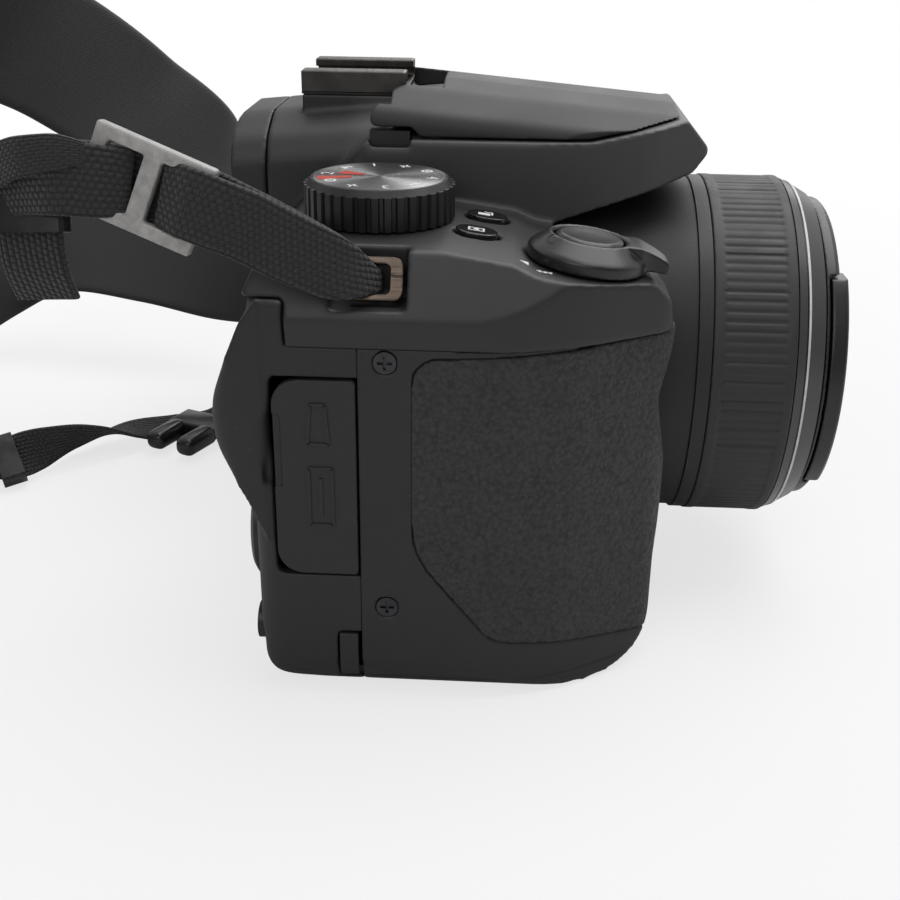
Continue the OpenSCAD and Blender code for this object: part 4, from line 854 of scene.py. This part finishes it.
lay_marks("back_icon", sheet_of((stroke, 0.2, 0, 2.0, 0.35), (stroke, -0.6, 0.4, 1.1, 0.35, 0.8),
                                (stroke, -0.6, -0.4, 1.1, 0.35, -0.8)),
          (-35.5, 35.9, 9), *REAR, nodes["back_button"], "white", "back")
lay_marks("movie_dot", sheet_of((dot, 0, 0, 1.2)), (-38, 37.9, 57), *REAR, nodes["movie_button"],
          "red", "movie")
lay_marks("pad_ticks", sheet_of((dot, 0, 7.4, 0.7, 3), (stroke, 7.4, 0, 0.35, 1.3),
                                (stroke, 0, -7.4, 1.3, 0.35), (stroke, -7.4, 0, 0.35, 1.3)),
          (-44, 36.8, 24), *REAR, nodes["four_way_pad"], "white", "pad")
lay_marks("socket_outline_upper", sheet_of(*outline(3.2, 6.4, 0.5, 0.5)), (-60.3, 24, 48), *SIDE,
          door_skin, "rubber", "port_cover", rise=0, thick=0.22)
lay_marks("socket_outline_lower", sheet_of(*outline(3.6, 9.6, 0.5), (stroke, 0, 0, 0.6, 6.4)),
          (-60.3, 23.8, 36), *SIDE, door_skin, "rubber", "port_cover", rise=0, thick=0.22)
lay_marks("near_mark", sheet_of((dot, 0, 0, 0.95, 3)), (-52, -6.1, 71.2), *PLATE,
          top_skin, "white", "camera")
lay_marks("far_mark", sheet_of(*((dot, h, 0, 0.55, 3) for h in (-0.8, 0, 0.8))), (-53.6, -9, 70.6), *PLATE,
          top_skin, "white", "camera")
lay_marks("lever_crescent", sheet_of((sector, 0, 0, 0.95, 1.3, math.radians(60), math.radians(190))),
          (-48.47, -10.35, 74.3), *LEVER_FACE, SKINS["lever_ring"], "seam", "zoom_ring_lever")
GRIP_CORNER, SEAM_OUT, SEAM_RISE = (-46, -15), 40, 0.03


def base_seam(name, height, line):
    """Shadow line where the base meets the grip, followed round on the shell's own surface."""
    under = surface(SKINS["body_front_moulding"])
    starts = [((GRIP_CORNER[0] - SEAM_OUT, y), (1, 0, 0)) for y in range(17, -14, -2)]
    for a in range(0, 100, 6):
        way = (math.cos(math.radians(a)), math.sin(math.radians(a)), 0)
        starts.append(([corner - SEAM_OUT * w for corner, w in zip(GRIP_CORNER, way)], way))
    bm = bmesh.new()
    rows = []
    for start, way in starts:
        spots = [under.ray_cast(mm(*start, height + h), Vector(way))[0] for h in (-line / 2, line / 2)]
        if all(spots):
            rows.append([bm.verts.new(spot - Vector(way) * SEAM_RISE * MM) for spot in spots])
    for one, two in zip(rows, rows[1:]):
        bm.faces.new((one[0], two[0], two[1], one[1]))
    bmesh.ops.recalc_face_normals(bm, faces=bm.faces)
    return piece(name, bm, "seam", "camera")


base_seam("base_shadow_line", height=2.8, line=0.34)


# Studio: pale floor, even light
FLOOR_R, FLOOR_DROP = 6, 0.0004
PANELS = (
    ("ceiling_panel", (0.15, -0.25, 0.9), (0, 0, 0.05), 0.9, 8.5),
    ("rear_panel", (0.8, -0.2, 0.5), (0, 0, 0.06), 0.6, 1.6),
    ("side_panel", (-0.75, 0.2, 0.6), (-0.03, 0, 0.05), 0.6, 2.2))


def ramp(tree, value, low, high, to_low, to_high):
    made = add_node(tree, "MapRange", {"Value": value, "From Min": low, "From Max": high,
                                       "To Min": to_low, "To Max": to_high}, interpolation_type="SMOOTHSTEP")
    return made.outputs["Result"]


def pale_paper():
    """Floor paper: matt under the light, and whiter to the eye farther out."""
    paper = bpy.data.materials.new("pale_paper")
    paper.use_nodes = True
    tree = paper.node_tree
    tree.nodes.clear()
    rays = add_node(tree, "LightPath").outputs
    seen = add_node(tree, "Math", {0: rays["Is Camera Ray"], 1: rays["Is Transmission Ray"]},
                    operation="ADD", use_clamp=True).outputs[0]
    here = add_node(tree, "TexCoord").outputs["Object"]
    far = add_node(tree, "VectorMath", {0: here}, operation="LENGTH").outputs["Value"]
    fade = ramp(tree, far, 0.06, 0.42, 0.72, 1.0)
    share = add_node(tree, "Math", {0: seen, 1: fade}, operation="MULTIPLY").outputs[0]
    matt = add_node(tree, "BsdfDiffuse", {"Color": (0.7, 0.7, 0.7, 1)}).outputs[0]
    glow = add_node(tree, "Emission").outputs[0]
    mixed = add_node(tree, "MixShader", {0: share, 1: matt, 2: glow}).outputs[0]
    add_node(tree, "OutputMaterial", {0: mixed})
    return paper


def studio_air():
    """White air: full to the eye, dimmer as a light, with a glow from the far side in glossy faces."""
    world = bpy.data.worlds.new("studio_air")
    scene.world = world
    world.use_nodes = True
    tree = world.node_tree
    rays = add_node(tree, "LightPath").outputs
    way = add_node(tree, "SeparateXYZ", {0: add_node(tree, "TexCoord").outputs["Generated"]}).outputs["X"]
    beyond = ramp(tree, way, -0.5, 0.4, 0.0, 0.7)
    gloss = add_node(tree, "Math", {0: rays["Is Glossy Ray"], 1: beyond}, operation="MULTIPLY").outputs[0]
    seen = add_node(tree, "Math", {0: rays["Is Camera Ray"], 1: rays["Is Transmission Ray"]},
                    operation="ADD").outputs[0]
    total = add_node(tree, "Math", {0: seen, 1: gloss}, operation="ADD", use_clamp=True).outputs[0]
    level = add_node(tree, "MapRange", {"Value": total, "To Min": 0.22, "To Max": 1.0}).outputs["Result"]
    back = tree.nodes["Background"]
    back.inputs["Color"].default_value = (1, 1, 1, 1)
    tree.links.new(level, back.inputs["Strength"])


def studio():
    bm = bmesh.new()
    bmesh.ops.create_circle(bm, cap_ends=True, segments=96, radius=FLOOR_R)
    mesh = bpy.data.meshes.new("studio_floor")
    bm.to_mesh(mesh)
    bm.free()
    mesh.materials.append(pale_paper())
    floor = bpy.data.objects.new("studio_floor", mesh)
    scene.collection.objects.link(floor)
    floor.location.z = -FLOOR_DROP
    studio_air()
    for name, place, aim, size, power in PANELS:
        lamp = bpy.data.lights.new(name, "AREA")
        lamp.size = size
        lamp.energy = power
        holder = bpy.data.objects.new(name, lamp)
        scene.collection.objects.link(holder)
        holder.location = place
        holder.rotation_euler = (Vector(aim) - Vector(place)).to_track_quat("-Z", "Y").to_euler()


studio()
